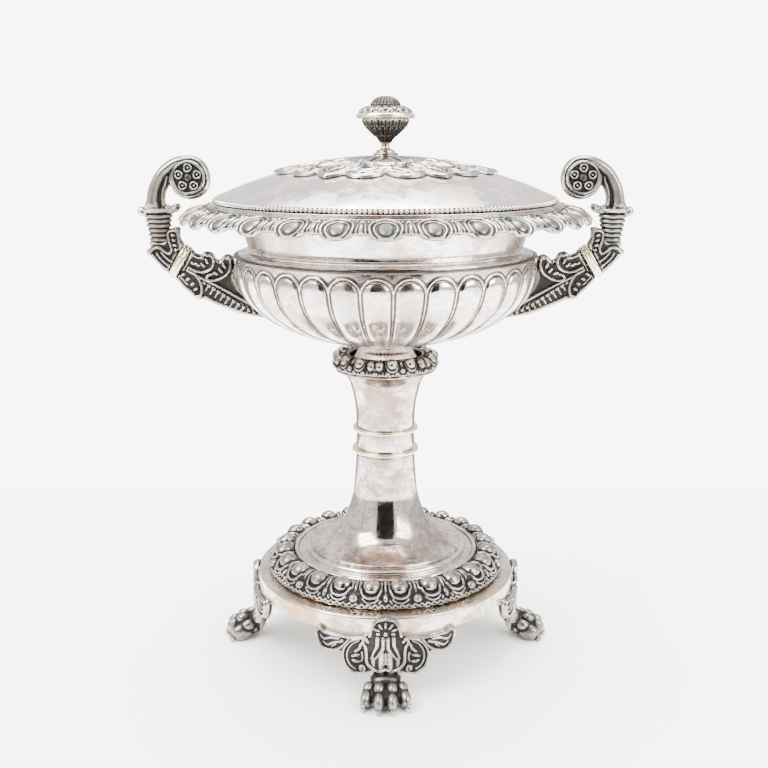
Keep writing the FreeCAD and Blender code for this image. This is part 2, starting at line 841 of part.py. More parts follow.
def make_plinth():
    """Drum with stud holes, leaf border, bead ring and moulding."""
    body = new_body("plinth_shell")
    add_turn(body, "plinth_shell")
    hole_place = placed(SIZES["foot_stud_distance"], 0, SIZES["plinth_underside"])
    hole = add_cylinder(body, "stud_hole", "foot_stud_radius + bore_clearance", "silver_gauge", hole_place)
    repeat_round(body, hole, "feet")
    keep(body, "plinth_shell")
    scalloped_piece("plinth_leaf_border", "plinth_notch", "plinth_leaves")
    bead_ring = document.addObject("Part::Torus", "plinth_bead_ring")
    bind(bead_ring, "Radius1", "bead_ring_radius")
    bind(bead_ring, "Radius2", "bead_ring_section")
    bind(bead_ring, "Placement.Base.z", "bead_ring_height")
    keep(bead_ring, "plinth_bead_ring")
    turned_piece("plinth_moulding")


def make_foot(name, index):
    """Cast paw foot: leg with a threaded stud, paw with toes."""
    body = new_body(f"foot_{name}")
    add_plate(body, "foot_leg", "leg_width")
    add_plate(body, "foot_paw", "paw_width")
    for groove in ("toe_groove_left", "toe_groove_middle", "toe_groove_right"):
        cut_plan(body, [groove], "toe_groove_floor")
    stud_place = placed(SIZES["foot_stud_distance"], 0, SIZES["plinth_underside"])
    kind = "PartDesign::AdditiveCylinder"
    add_cylinder(body, "stud", "foot_stud_radius", "foot_stud_length", stud_place, kind)
    body.Placement = turned_about_z(index, "feet")
    keep(body, f"foot_{name}")


def make_foot_bracket(name, index):
    """Openwork plate bent to the drum's wall above one foot."""
    body = new_body(f"foot_bracket_{name}")
    sketch = new_sketch(body, f"{body.Name}_front", "YZ_Plane")
    draw_outline(sketch, "foot_bracket")
    pad = body.newObject("PartDesign::Pad", f"{body.Name}_pad")
    pad.Profile = sketch
    bind(pad, "Length", "bracket_reach")
    mirror = body.newObject("PartDesign::Mirrored", f"{body.Name}_mirror")
    mirror.Originals = [pad]
    plane = [item for item in body.Origin.OriginFeatures if item.Role == "XZ_Plane"][0]
    mirror.MirrorPlane = (plane, [""])
    body.Tip = mirror
    add_turn(body, "bracket_core", "PartDesign::Groove")
    add_turn(body, "bracket_outside", "PartDesign::Groove")
    body.Placement = turned_about_z(index, "feet")
    keep(body, f"foot_bracket_{name}")


def make_feet():
    """Four feet with their brackets and nuts."""
    nuts = []
    nut_floor = SIZES["plinth_underside"] + SIZES["silver_gauge"]
    for index, name in enumerate(("right", "back", "left", "front")):
        make_foot(name, index)
        make_foot_bracket(name, index)
        place = turned_about_z(index, "feet") * placed(SIZES["foot_stud_distance"], 0, nut_floor)
        circle, height = "foot_nut_circle", "foot_nut_height"
        nuts.append(hexagon_nut(f"foot_nut_{name}", circle, height, "foot_stud_radius", place))
    group("foot_nuts", nuts)


# ---------------------------------------------------------------- stem

def make_stem():
    """Trumpet, rings, sleeve and upper stem, drawn together by the tie rod."""
    for label in ("stem_trumpet", "stem_ring_lower", "stem_sleeve", "stem_ring_upper", "stem_upper"):
        turned_piece(label)
    scalloped_piece("capital_border", "capital_notch", "capital_leaves")
    turned_piece("bowl_foot_collar")
    rod_place = placed(0, 0, SIZES["tie_rod_foot"])
    keep(rod("tie_rod", "tie_rod_radius", "bowl_floor - tie_rod_foot", rod_place), "tie_rod")
    turned_piece("tie_bridge")
    bridge_foot = SIZES["deck_height"] - SIZES["silver_gauge"] - SIZES["bridge_thickness"]
    nut_place = placed(0, 0, bridge_foot - SIZES["tie_nut_height"])
    nut = hexagon_nut("tie_nut", "tie_nut_circle", "tie_nut_height", "tie_rod_radius", nut_place)
    keep(nut, "tie_nut")


# ---------------------------------------------------------------- handles

def make_handle(side, index):
    """One handle: bracket, gilt collar, ribbed stem, horn and two rosettes."""
    about_z = turned_about_z(index, "handles")
    arm_centre = (SIZES["collar_centre_across"], 0, SIZES["collar_centre_up"])
    arm = placed(*arm_centre, (0, 1, 0), SIZES["collar_tilt"])
    arm_pin = arm * placed(0, 0, -SIZES["arm_pin_length"] / 2)
    horn_pin = placed(SIZES["stem_axis"], 0, SIZES["horn_pin_foot"])
    pin_bore = "handle_pin_radius + bore_clearance"

    bracket = new_body(f"handle_bracket_{side}")
    add_plate(bracket, "handle_bracket", "bracket_width")
    add_cylinder(bracket, "bore", pin_bore, "arm_pin_length", arm_pin)
    bracket.Placement = about_z
    keep(bracket, f"handle_bracket_{side}")

    collar = new_body(f"handle_collar_{side}")
    sketch = new_sketch(collar, f"{collar.Name}_oval", "XY_Plane")
    draw_outline(sketch, "handle_collar")
    pad = collar.newObject("PartDesign::Pad", f"{collar.Name}_pad")
    pad.Profile = sketch
    pad.SideType = "Symmetric"
    bind(pad, "Length", "collar_thickness")
    local_pin = placed(0, 0, -SIZES["arm_pin_length"] / 2)
    add_cylinder(collar, "bore", pin_bore, "arm_pin_length", local_pin)
    collar.Placement = about_z * arm
    keep(collar, f"handle_collar_{side}")

    elbow = new_body(f"handle_elbow_{side}")
    add_plate(elbow, "handle_elbow", "elbow_width")
    add_cylinder(elbow, "bore", pin_bore, "arm_pin_length", arm_pin)
    ribs = new_body(f"handle_ribs_{side}")
    add_turn(ribs, "handle_ribs")
    add_cylinder(ribs, "bore", pin_bore, "horn_pin_length", placed(0, 0, SIZES["horn_pin_foot"]))
    ribs.Placement = placed(SIZES["stem_axis"], 0, 0)
    stem = document.addObject("Part::Fuse", f"handle_stem_{side}")
    stem.Base = elbow
    stem.Tool = ribs
    stem.Placement = about_z
    keep(stem, f"handle_stem_{side}")

    horn = new_body(f"handle_horn_{side}")
    add_plate(horn, "handle_horn", "horn_width")
    add_cylinder(horn, "bore", pin_bore, "horn_pin_length", horn_pin)
    eye_centre = (SIZES["scroll_centre_across"], SIZES["horn_width"] / 2, SIZES["scroll_centre_up"])
    eye = placed(*eye_centre, (1, 0, 0), 90)
    add_cylinder(horn, "rivet_bore", "rivet_radius + bore_clearance", "horn_width", eye)
    horn.Placement = about_z
    keep(horn, f"handle_horn_{side}")

    return [
        rod(f"arm_pin_{side}", "handle_pin_radius", "arm_pin_length", about_z * arm_pin),
        rod(f"horn_pin_{side}", "handle_pin_radius", "horn_pin_length", about_z * horn_pin),
    ]


def make_rosettes(side, index):
    """Five-petalled rosettes on both faces of a scroll's eye, and the rivet between them."""
    about_z = turned_about_z(index, "handles")
    across = SIZES["scroll_centre_across"]
    up = SIZES["scroll_centre_up"]
    half = SIZES["horn_width"] / 2
    for face, outward in (("front", -1), ("back", 1)):
        label = f"rosette_{side}_{face}"
        body = new_body(label)
        add_turn(body, "rosette")
        sketch = new_sketch(body, f"{body.Name}_petal", "XY_Plane")
        draw_circle(sketch, "petal_distance", "petal_radius")
        petal = body.newObject("PartDesign::Pad", f"{body.Name}_petal_pad")
        petal.Profile = sketch
        bind(petal, "Length", "petal_height")
        repeat_round(body, petal, "rosette_petals")
        side_of_row = outward if index == 0 else -outward
        body.Placement = about_z * placed(across, side_of_row * half, up, (1, 0, 0), -90 * side_of_row)
        keep(body, label)
    length = "horn_width + rosette_thickness + rosette_thickness"
    reach = half + SIZES["rosette_thickness"]
    return rod(f"rivet_{side}", "rivet_radius", length, about_z * placed(across, reach, up, (1, 0, 0), 90))


def make_handles():
    """Both handles with their dowels and rivets."""
    pins = []
    rivets = []
    for index, side in enumerate(("right", "left")):
        pins += make_handle(side, index)
        rivets.append(make_rosettes(side, index))
    group("handle_pins", pins)
    group("rosette_rivets", rivets)


# ---------------------------------------------------------------- bowl and lid

def make_bowl():
    """Raised bowl, ledge, neck, rim plate, seat ring and the border of leaves."""
    for label in ("bowl_body", "bowl_ledge", "bowl_neck", "rim_plate", "rim_seat_ring"):
        turned_piece(label)
    scalloped_piece("rim_border", "rim_notch", "rim_leaves")


def make_lid():
    """Domed lid with its bezel, pierced mount and finial, held by one stud and nut."""
    for label in ("lid_bead_rim", "lid_dome", "lid_bezel"):
        turned_piece(label)
    mount = new_body("lid_mount")
    add_turn(mount, "lid_mount")
    openings = [outline for outline in OUTLINES if outline.startswith("mount_")]
    repeat_round(mount, cut_plan(mount, openings), "mount_lobes")
    keep(mount, "lid_mount")
    for label in ("finial_base", "finial_cup", "finial_ring", "finial_dome"):
        turned_piece(label)
    stud_place = placed(0, 0, SIZES["stud_foot"])
    keep(rod("finial_stud", "stud_radius", "stud_top - stud_foot", stud_place), "finial_stud")
    washer_foot = SIZES["washer_top"] - SIZES["washer_thickness"]
    washer_place = placed(0, 0, washer_foot)
    washer = flat_washer("finial_washer", "washer_radius", "stud_radius", "washer_thickness", washer_place)
    keep(washer, "finial_washer")
    nut_place = placed(0, 0, washer_foot - SIZES["lid_nut_height"])
    nut = hexagon_nut("finial_nut", "lid_nut_circle", "lid_nut_height", "stud_radius", nut_place)
    keep(nut, "finial_nut")


# ---------------------------------------------------------------- checks and files

def check_document():
    """Stops if any object failed, or any piece is empty or not valid."""
    for item in document.Objects:
        if "Invalid" in item.State or "Error" in item.State:
            raise RuntimeError(f"{item.Name} failed: {item.State}")
    for piece in pieces:
        if piece.Shape.isNull() or not piece.Shape.isValid() or not piece.Shape.Solids:
            raise RuntimeError(f"{piece.Label} has no valid solid")


def write_pieces():
    """Writes each piece as its own STEP file."""
    os.makedirs("parts", exist_ok=True)
    for piece in pieces:
        piece.Shape.exportStep(f"parts/{piece.Label}.step")


make_sheet()
make_plinth()
make_feet()
make_stem()
make_bowl()
make_handles()
make_lid()
document.recompute()
check_document()
write_pieces()
print(f"{len(pieces)} pieces written")
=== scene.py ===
"""Visual model of the covered silver sugar bowl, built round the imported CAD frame."""

import math

import bmesh
import bpy
import numpy as np
from mathutils import Matrix, Vector


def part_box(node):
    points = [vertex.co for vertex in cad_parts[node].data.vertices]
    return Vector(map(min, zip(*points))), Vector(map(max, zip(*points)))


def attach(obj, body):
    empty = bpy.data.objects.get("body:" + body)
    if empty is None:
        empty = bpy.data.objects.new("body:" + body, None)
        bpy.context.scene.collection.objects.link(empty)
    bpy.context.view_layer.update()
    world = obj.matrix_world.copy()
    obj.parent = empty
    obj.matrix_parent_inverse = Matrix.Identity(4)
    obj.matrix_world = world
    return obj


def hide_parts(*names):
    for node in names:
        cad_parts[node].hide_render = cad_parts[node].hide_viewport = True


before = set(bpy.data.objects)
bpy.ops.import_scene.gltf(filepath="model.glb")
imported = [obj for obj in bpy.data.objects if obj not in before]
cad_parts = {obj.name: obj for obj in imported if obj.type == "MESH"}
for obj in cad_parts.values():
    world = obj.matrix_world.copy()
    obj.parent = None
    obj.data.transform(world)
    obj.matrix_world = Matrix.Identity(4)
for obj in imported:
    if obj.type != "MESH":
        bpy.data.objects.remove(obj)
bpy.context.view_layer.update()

MM = 0.001
LOBES = 32
RIM_LEAVES = 30
PLINTH_UNITS = 12
CAPITAL_UNITS = 6
LOBE_START = 272.6
COLLAR_TILT = 59.4
STEM_AXIS = 107.5
EYE_PLACE = (-0.00072, -0.510, 0.2571)
EYE_TILT = 13.66
LID_BEADS = 240
CORNER_STEPS = 4
EGG_AROUND = 24
EGG_RINGS = 14
LIGHTS = {"key": ((-0.55, -0.35, 0.85), (0, 0, 0.12), (0.6, 0.6), 18.0),
    "fill": ((0.7, -0.5, 0.6), (0, 0, 0.12), (0.6, 0.5), 11.0),
    "top": ((0.0, 0.25, 1.0), (0, 0, 0.1), (0.7, 0.5), 26.0)}
ROOM_ON_TABLE = 6.5
ROOM_IN_SILVER = 1.6
WALL_GLOW = 8.0
FEET = {"right": 0, "back": 90, "left": 180, "front": 270}
HANDLES = {"right": 0, "left": 180}


# ---------------------------------------------------------------- places from the frame, in mm

def reach(node):
    """Largest distance of a turned node from the Z axis."""
    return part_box(node)[1].x / MM


def floor_of(node):
    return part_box(node)[0].z / MM


def top_of(node):
    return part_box(node)[1].z / MM


# ---------------------------------------------------------------- curves and grids

def smooth_curve(points, steps):
    """Catmull-Rom curve through the points, with steps samples for each span."""
    given = np.asarray(points, float)
    padded = np.vstack([2 * given[0] - given[1], given, 2 * given[-1] - given[-2]])
    t = np.linspace(0, 1, steps, endpoint=False)[:, None]
    spans = []
    for a, b, c, d in zip(padded[:-3], padded[1:-2], padded[2:-1], padded[3:]):
        spans.append(0.5 * (2 * b + (c - a) * t + (2 * a - 5 * b + 4 * c - d) * t ** 2
            + (3 * b - a - 3 * c + d) * t ** 3))
    return np.vstack(spans + [given[-1:]])


def joined(*stretches):
    """Several stretches of section, one after the other, with sharp corners between them."""
    return np.vstack([np.asarray(stretch, float) for stretch in stretches])


def arc_points(centre, radius, start, end, steps=10):
    """Points on a circle, angles in degrees."""
    angles = np.radians(np.linspace(start, end, steps))
    return np.c_[centre[0] + radius * np.cos(angles), centre[1] + radius * np.sin(angles)]


def resampled(curve, count):
    """The same curve with points spaced evenly along it."""
    steps = np.linalg.norm(np.diff(curve, axis=0), axis=1)
    length = np.r_[0, np.cumsum(steps)]
    at = np.linspace(0, length[-1], count)
    return np.c_[np.interp(at, length, curve[:, 0]), np.interp(at, length, curve[:, 1])], length[-1]


def section_normals(curve, closed=False):
    """Unit normals to the right of travel, which is outwards for a section drawn upwards."""
    if closed:
        tangent = np.roll(curve, -1, axis=0) - np.roll(curve, 1, axis=0)
    else:
        tangent = np.gradient(curve, axis=0)
    tangent /= np.maximum(np.linalg.norm(tangent, axis=1, keepdims=True), 1e-9)
    return np.c_[tangent[:, 1], -tangent[:, 0]]


# ---------------------------------------------------------------- relief in a plane

def bump(distance, width, height):
    """Round wire: full height on the line, nothing beyond width."""
    return height * np.sqrt(np.clip(1 - (distance / width) ** 2, 0, 1))


def wire(u, v, points, width, height, steps=8):
    """A raised wire along a smooth line; width may taper from one end to the other."""
    line = smooth_curve(points, steps)
    if np.ndim(width) == 0:
        width = (width, width)
    best = np.zeros_like(u)
    share = np.linspace(0, 1, len(line))
    for index, (a, b) in enumerate(zip(line[:-1], line[1:])):
        along = b - a
        size = max(along @ along, 1e-12)
        t = np.clip(((u - a[0]) * along[0] + (v - a[1]) * along[1]) / size, 0, 1)
        distance = np.hypot(u - a[0] - t * along[0], v - a[1] - t * along[1])
        w = width[0] + (width[1] - width[0]) * share[index]
        best = np.maximum(best, bump(distance, w, height * w / max(width)))
    return best


def blob(u, v, centre, radii, height, turn=0.0):
    """A raised oval drop, turned by so many degrees."""
    c, s = math.cos(math.radians(turn)), math.sin(math.radians(turn))
    du, dv = u - centre[0], v - centre[1]
    x = (du * c + dv * s) / radii[0]
    y = (-du * s + dv * c) / radii[1]
    return height * np.sqrt(np.clip(1 - x * x - y * y, 0, 1))


def highest(*reliefs):
    return np.maximum.reduce(reliefs)


def relief_on(u, v):
    """An empty list of reliefs, with a line and a drop that add to it."""
    parts = [0 * u]

    def line(points, width, height, steps=8):
        parts.append(wire(u, v, points, width, height, steps))

    def drop(centre, radii, height, turn=0.0):
        parts.append(blob(u, v, centre, radii, height, turn))

    return parts, line, drop


def round_step(x, low, high):
    t = np.clip((x - low) / (high - low), 0, 1)
    return t * t * (3 - 2 * t)


# ---------------------------------------------------------------- meshes

def mesh_piece(name, points, faces, body, nodes, finish, weld=False, cavity=14):
    """Makes one piece from points in mm, with its cavity map, body and material."""
    mesh = bpy.data.meshes.new(name)
    mesh.from_pydata((np.asarray(points, float) * MM).tolist(), [], np.asarray(faces).tolist())
    if weld:
        work = bmesh.new()
        work.from_mesh(mesh)
        bmesh.ops.remove_doubles(work, verts=work.verts, dist=2e-6)
        bmesh.ops.dissolve_degenerate(work, edges=work.edges, dist=1e-7)
        bmesh.ops.recalc_face_normals(work, faces=work.faces)
        work.to_mesh(mesh)
        work.free()
    mesh.update()
    piece = bpy.data.objects.new(name, mesh)
    bpy.context.scene.collection.objects.link(piece)
    return finish_piece(piece, body, nodes, finish, cavity)


def finish_piece(piece, body, nodes, finish, cavity):
    """Shades a piece, maps its cavities and hands it to the frame."""
    mesh = piece.data
    mesh.polygons.foreach_set("use_smooth", np.full(len(mesh.polygons), True))
    map_cavities(mesh, cavity)
    mesh.materials.clear()
    mesh.materials.append(finish)
    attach(piece, body)
    if nodes:
        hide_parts(*nodes)
    return piece


def map_cavities(mesh, rounds):
    """Writes how far each point lies below its smoothed surroundings, 0.5 being level; the finishes paint
    shade with tarnish into recesses from it.
    """
    count = len(mesh.vertices)
    place = np.empty(count * 3)
    mesh.vertices.foreach_get("co", place)
    place = place.reshape(-1, 3)
    normal = np.empty(count * 3)
    mesh.vertices.foreach_get("normal", normal)
    normal = normal.reshape(-1, 3)
    edges = np.empty(len(mesh.edges) * 2, np.int64)
    mesh.edges.foreach_get("vertices", edges)
    a, b = edges.reshape(-1, 2).T
    degree = np.maximum(np.bincount(a, minlength=count) + np.bincount(b, minlength=count), 1)
    level = place.copy()
    for _ in range(rounds):
        total = np.stack([np.bincount(a, level[b, k], count) + np.bincount(b, level[a, k],
            count) for k in range(3)], axis=1)
        level = 0.4 * level + 0.6 * total / degree[:, None]
    depth = np.einsum("ij,ij->i", level - place, normal) / MM
    shade = np.clip(0.5 + depth, 0, 1).astype(np.float32)
    layer = mesh.attributes.new("cavity", "FLOAT", "POINT")
    layer.data.foreach_set("value", shade)


def grid_faces(rows, columns, close_rows, close_columns):
    """Quads of a grid, joined up end to end where asked."""
    i, j = np.meshgrid(np.arange(rows if close_rows else rows - 1),
        np.arange(columns if close_columns else columns - 1), indexing="ij")
    i2, j2 = (i + 1) % rows, (j + 1) % columns
    quads = np.stack([i * columns + j, i2 * columns + j, i2 * columns + j2, i * columns + j2], axis=-1)
    return quads.reshape(-1, 4)


def turned_points(theta, r, z):
    """Points at radius r and height z, z having one row for each angle."""
    return np.stack([r * np.cos(theta)[:, None], r * np.sin(theta)[:, None], z], axis=-1).reshape(-1, 3)


def turned(name, curve, body, nodes, finish, around=288, relief=None, cavity=14):
    """A closed section turned round the Z axis. relief(angles) gives mm along the normal."""
    curve = np.asarray(curve, float)
    normals = section_normals(curve, closed=True)
    theta = np.linspace(0, 2 * np.pi, around, endpoint=False)
    offset = np.zeros((around, len(curve))) if relief is None else relief(theta)
    radius = curve[None, :, 0] + normals[None, :, 0] * offset
    up = curve[None, :, 1] + normals[None, :, 1] * offset
    faces = grid_faces(around, len(curve), True, True)
    return mesh_piece(name, turned_points(theta, radius, up), faces, body, nodes, finish, weld=True,
        cavity=cavity)


def cut_sheet(low, high, step, inside):
    """Grid points and faces of a flat sheet cut to where inside(u, v) > 0, its rim drawn to the outline."""
    us = np.arange(low[0], high[0] + step, step)
    vs = np.arange(low[1], high[1] + step, step)
    u, v = np.meshgrid(us, vs, indexing="ij")
    rows, columns = u.shape
    faces = grid_faces(rows, columns, False, False)
    u, v = u.ravel(), v.ravel()
    keep = inside(u[faces].mean(1), v[faces].mean(1)) > 0
    faces = faces[keep]
    used = np.unique(faces)
    index = np.full(len(u), -1)
    index[used] = np.arange(len(used))
    faces = index[faces]
    u, v = u[used], v[used]
    sides = np.concatenate([faces[:, [k, (k + 1) % 4]] for k in range(4)])
    keys = sides.min(1) * len(u) + sides.max(1)
    _, first, counts = np.unique(keys, return_index=True, return_counts=True)
    rim_edges = sides[first[counts == 1]]
    rim = np.unique(rim_edges)
    for _ in range(3):
        nudge = step * 0.05
        f = inside(u[rim], v[rim])
        fu = (inside(u[rim] + nudge, v[rim]) - f) / nudge
        fv = (inside(u[rim], v[rim] + nudge) - f) / nudge
        scale = np.clip(f / np.maximum(fu * fu + fv * fv, 0.2), -step, step)
        u[rim] -= scale * fu
        v[rim] -= scale * fv
    return u, v, faces, rim_edges


def two_sided(u, v, faces, rim_edges, front, back):
    """Closes a cut sheet: front(u, v) and back(u, v) give points, and walls join their rims."""
    count = len(u)
    points = np.vstack([front(u, v), back(u, v)])
    walls = np.c_[rim_edges[:, 1], rim_edges[:, 0], rim_edges[:, 0] + count, rim_edges[:, 1] + count]
    return points, np.vstack([faces, faces[:, ::-1] + count, walls])


# ---------------------------------------------------------------- sections

def profile(node, *places):
    """Section points, each as mm in from the node's widest radius and mm up from its underside."""
    return np.array([(reach(node) - inward, floor_of(node) + up) for inward, up in places])


def bowed(start, end, radius, turn, steps=10):
    """Points of the short arc from start to end; turn 1 is to the left of travel, -1 to the right."""
    start, end = np.asarray(start, float), np.asarray(end, float)
    chord = end - start
    size = np.linalg.norm(chord)
    rise = math.sqrt(max(radius ** 2 - size ** 2 / 4, 0))
    centre = (start + end) / 2 + np.array([-chord[1], chord[0]]) / size * rise * turn
    first, last = start - centre, end - centre
    a = math.atan2(first[1], first[0])
    b = math.atan2(last[1], last[0])
    b += 2 * math.pi * (turn == 1 and b < a) - 2 * math.pi * (turn == -1 and b > a)
    angles = np.linspace(a, b, steps)
    return centre + radius * np.c_[np.cos(angles), np.sin(angles)]


def rounded(points, radius=0.25):
    """A closed section with its corners rounded."""
    points = np.asarray(points, float)
    points = points[np.linalg.norm(points - np.roll(points, 1, axis=0), axis=1) > 1e-4]
    before, after = np.roll(points, 1, axis=0), np.roll(points, -1, axis=0)
    line = []
    t = np.linspace(0, 1, CORNER_STEPS)[:, None]
    for a, p, b in zip(before, points, after):
        back, ahead = np.linalg.norm(a - p), np.linalg.norm(b - p)
        start = p + (a - p) / back * min(radius, 0.45 * back)
        end = p + (b - p) / ahead * min(radius, 0.45 * ahead)
        line.append((1 - t) ** 2 * start + 2 * t * (1 - t) * p + t * t * end)
    return np.vstack(line)


def ring_piece(node, points, finish, body="bowl", around=288, radius=0.25):
    """A plain turned piece in place of the node of the same name."""
    return turned(f"{node}_piece", rounded(points, radius), body, [node], finish, around, cavity=0)


# ---------------------------------------------------------------- cast borders and sheets

def border(node, line, units, per_unit, rows, edge, relief, thickness, finish, reference, first=0.0):
    """Cast border: line runs from its inner edge over the crown to the tips of its leaves."""
    path, length = resampled(line, 300)
    outward = -section_normals(path)
    along = np.linspace(0, length, 300)
    front = math.radians(first) - np.pi / 2
    theta = np.linspace(0, 2 * np.pi, units * per_unit, endpoint=False) + front
    unit = 2 * np.pi / units
    u = (np.mod(theta - front + unit / 2, unit) - unit / 2) * reference
    end = length - edge(u)
    share = np.linspace(0, 1, rows + 1)
    v = end[:, None] * share[None, :]
    uu = np.broadcast_to(u[:, None], v.shape)
    lift = relief(uu, v) * round_step(end[:, None] - v, -0.3, 0.5)
    r = np.interp(v, along, path[:, 0]) + np.interp(v, along, outward[:, 0]) * lift
    z = np.interp(v, along, path[:, 1]) + np.interp(v, along, outward[:, 1]) * lift
    back = v[:, ::-1][:, ::4]
    r_back = np.interp(back, along, path[:, 0] - outward[:, 0] * thickness)
    z_back = np.interp(back, along, path[:, 1] - outward[:, 1] * thickness)
    r, z = np.hstack([r, r_back]), np.hstack([z, z_back])
    faces = grid_faces(len(theta), r.shape[1], True, True)
    return mesh_piece(f"{node}_piece", turned_points(theta, r, z), faces, "bowl", [node], finish,
        weld=True)


def polygon_depth(u, v, outline):
    """Distance to a closed outline, positive inside it."""
    nearest = np.full(u.shape, 1e9)
    inside = np.zeros(u.shape, bool)
    for a, b in zip(outline, np.roll(outline, -1, axis=0)):
        along = b - a
        t = np.clip(((u - a[0]) * along[0] + (v - a[1]) * along[1]) / max(along @ along, 1e-9), 0, 1)
        nearest = np.minimum(nearest, np.hypot(u - a[0] - t * along[0], v - a[1] - t * along[1]))
        crosses = (a[1] > v) != (b[1] > v)
        rise = along[1] if abs(along[1]) > 1e-9 else 1e-9
        inside ^= crosses & (u < a[0] + (v - a[1]) * along[0] / rise)
    return np.where(inside, nearest, -nearest)


def closed_curve(points, steps=6):
    """A smooth closed outline through the points."""
    given = np.asarray(points, float)
    ring = np.vstack([given[-2:], given, given[:2]])
    return smooth_curve(ring, steps)[2 * steps:-2 * steps]


def pillow(depth, radius):
    """Rise from an edge as a quarter circle, from 0 at the edge to 1."""
    return np.sqrt(np.clip(1 - (1 - np.clip(depth / radius, 0, 1)) ** 2, 0, 1))


def plate_piece(name, nodes, outline, half, rim, edge_radius, relief, finish, turn=0.0, step=0.36):
    """A casting drawn in the XZ plane with the same relief on both faces, turned about Z."""
    outline = np.asarray(outline, float)
    low, high = outline.min(0) - step, outline.max(0) + step
    u, v, faces, rim_edges = cut_sheet(low, high, step, lambda a, b: polygon_depth(a, b, outline))
    depth = polygon_depth(u, v, outline)
    swell = rim + (half - rim) * pillow(depth, edge_radius) + relief(u, v) * np.clip(depth / 0.5, 0, 1)
    c, s = math.cos(math.radians(turn)), math.sin(math.radians(turn))

    def face(sign):
        x, y = u, sign * swell
        return np.c_[x * c - y * s, x * s + y * c, v]

    points, quads = two_sided(u, v, faces, rim_edges, lambda a, b: face(-1), lambda a, b: face(1))
    return mesh_piece(name, points, quads, "bowl", nodes, finish, weld=True)


def egg_points(theta, phi):
    """Points of a unit sphere, one row for each theta."""
    return turned_points(theta, np.sin(phi), np.tile(np.cos(phi), (len(theta), 1)))


def balls(name, centres, radii, body, nodes, finish, segments, rings):
    """Many small balls in one piece."""
    theta = np.linspace(0, 2 * np.pi, segments, endpoint=False)
    phi = np.linspace(0, np.pi, rings + 1)
    unit = egg_points(theta, phi)
    quads = grid_faces(segments, rings + 1, True, False)
    points, faces = [], []
    for index, (centre, radius) in enumerate(zip(centres, radii)):
        points.append(np.asarray(centre) + unit * radius)
        faces.append(quads + index * len(unit))
    return mesh_piece(name, np.vstack(points), np.vstack(faces), body, nodes, finish, weld=True)


def round_places(radius, height, count):
    """Places spaced evenly on a level circle."""
    theta = np.linspace(0, 2 * np.pi, count, endpoint=False)
    return np.c_[radius * np.cos(theta), radius * np.sin(theta), np.full(count, height)]


# ---------------------------------------------------------------- finishes

def node_tree(name, library=bpy.data.materials):
    """A new material, or world, with its empty tree and a helper that adds and sets a node."""
    material = library.new(name)
    material.use_nodes = True
    tree = material.node_tree
    tree.nodes.clear()

    def add(kind, **settings):
        node = tree.nodes.new(kind)
        for key, value in settings.items():
            if key.startswith("in_"):
                slot = key[3:]
                node.inputs[int(slot) if slot.isdigit() else slot.replace("_", " ")].default_value = value
            else:
                setattr(node, key, value)
        return node

    return material, tree, add


def noise(tree, add, place, scale, detail=4.0, roughness=0.55, low=0.4, high=0.6, stretch=None):
    """Noise in the piece's own metres, sharpened between low and high."""
    if stretch:
        mapping = add("ShaderNodeMapping", in_Scale=stretch)
        tree.links.new(place, mapping.inputs["Vector"])
        place = mapping.outputs["Vector"]
    texture = add("ShaderNodeTexNoise", in_Scale=scale, in_Detail=detail, in_Roughness=roughness)
    tree.links.new(place, texture.inputs["Vector"])
    ramp = add("ShaderNodeMapRange", interpolation_type="SMOOTHSTEP", in_1=low, in_2=high)
    tree.links.new(texture.outputs["Fac"], ramp.inputs["Value"])
    return ramp.outputs["Result"]


def mixed(tree, add, share, first, second, amount=1.0):
    """Blend of two colours, each a colour or a socket, by a socket times an amount."""
    mix = add("ShaderNodeMix", data_type="RGBA")
    scaled = add("ShaderNodeMath", operation="MULTIPLY", in_1=amount)
    tree.links.new(share, scaled.inputs[0])
    tree.links.new(scaled.outputs["Value"], mix.inputs["Factor"])
    for slot, value in ((6, first), (7, second)):
        if isinstance(value, tuple):
            mix.inputs[slot].default_value = (*value, 1)
        else:
            tree.links.new(value, mix.inputs[slot])
    return mix.outputs[2]


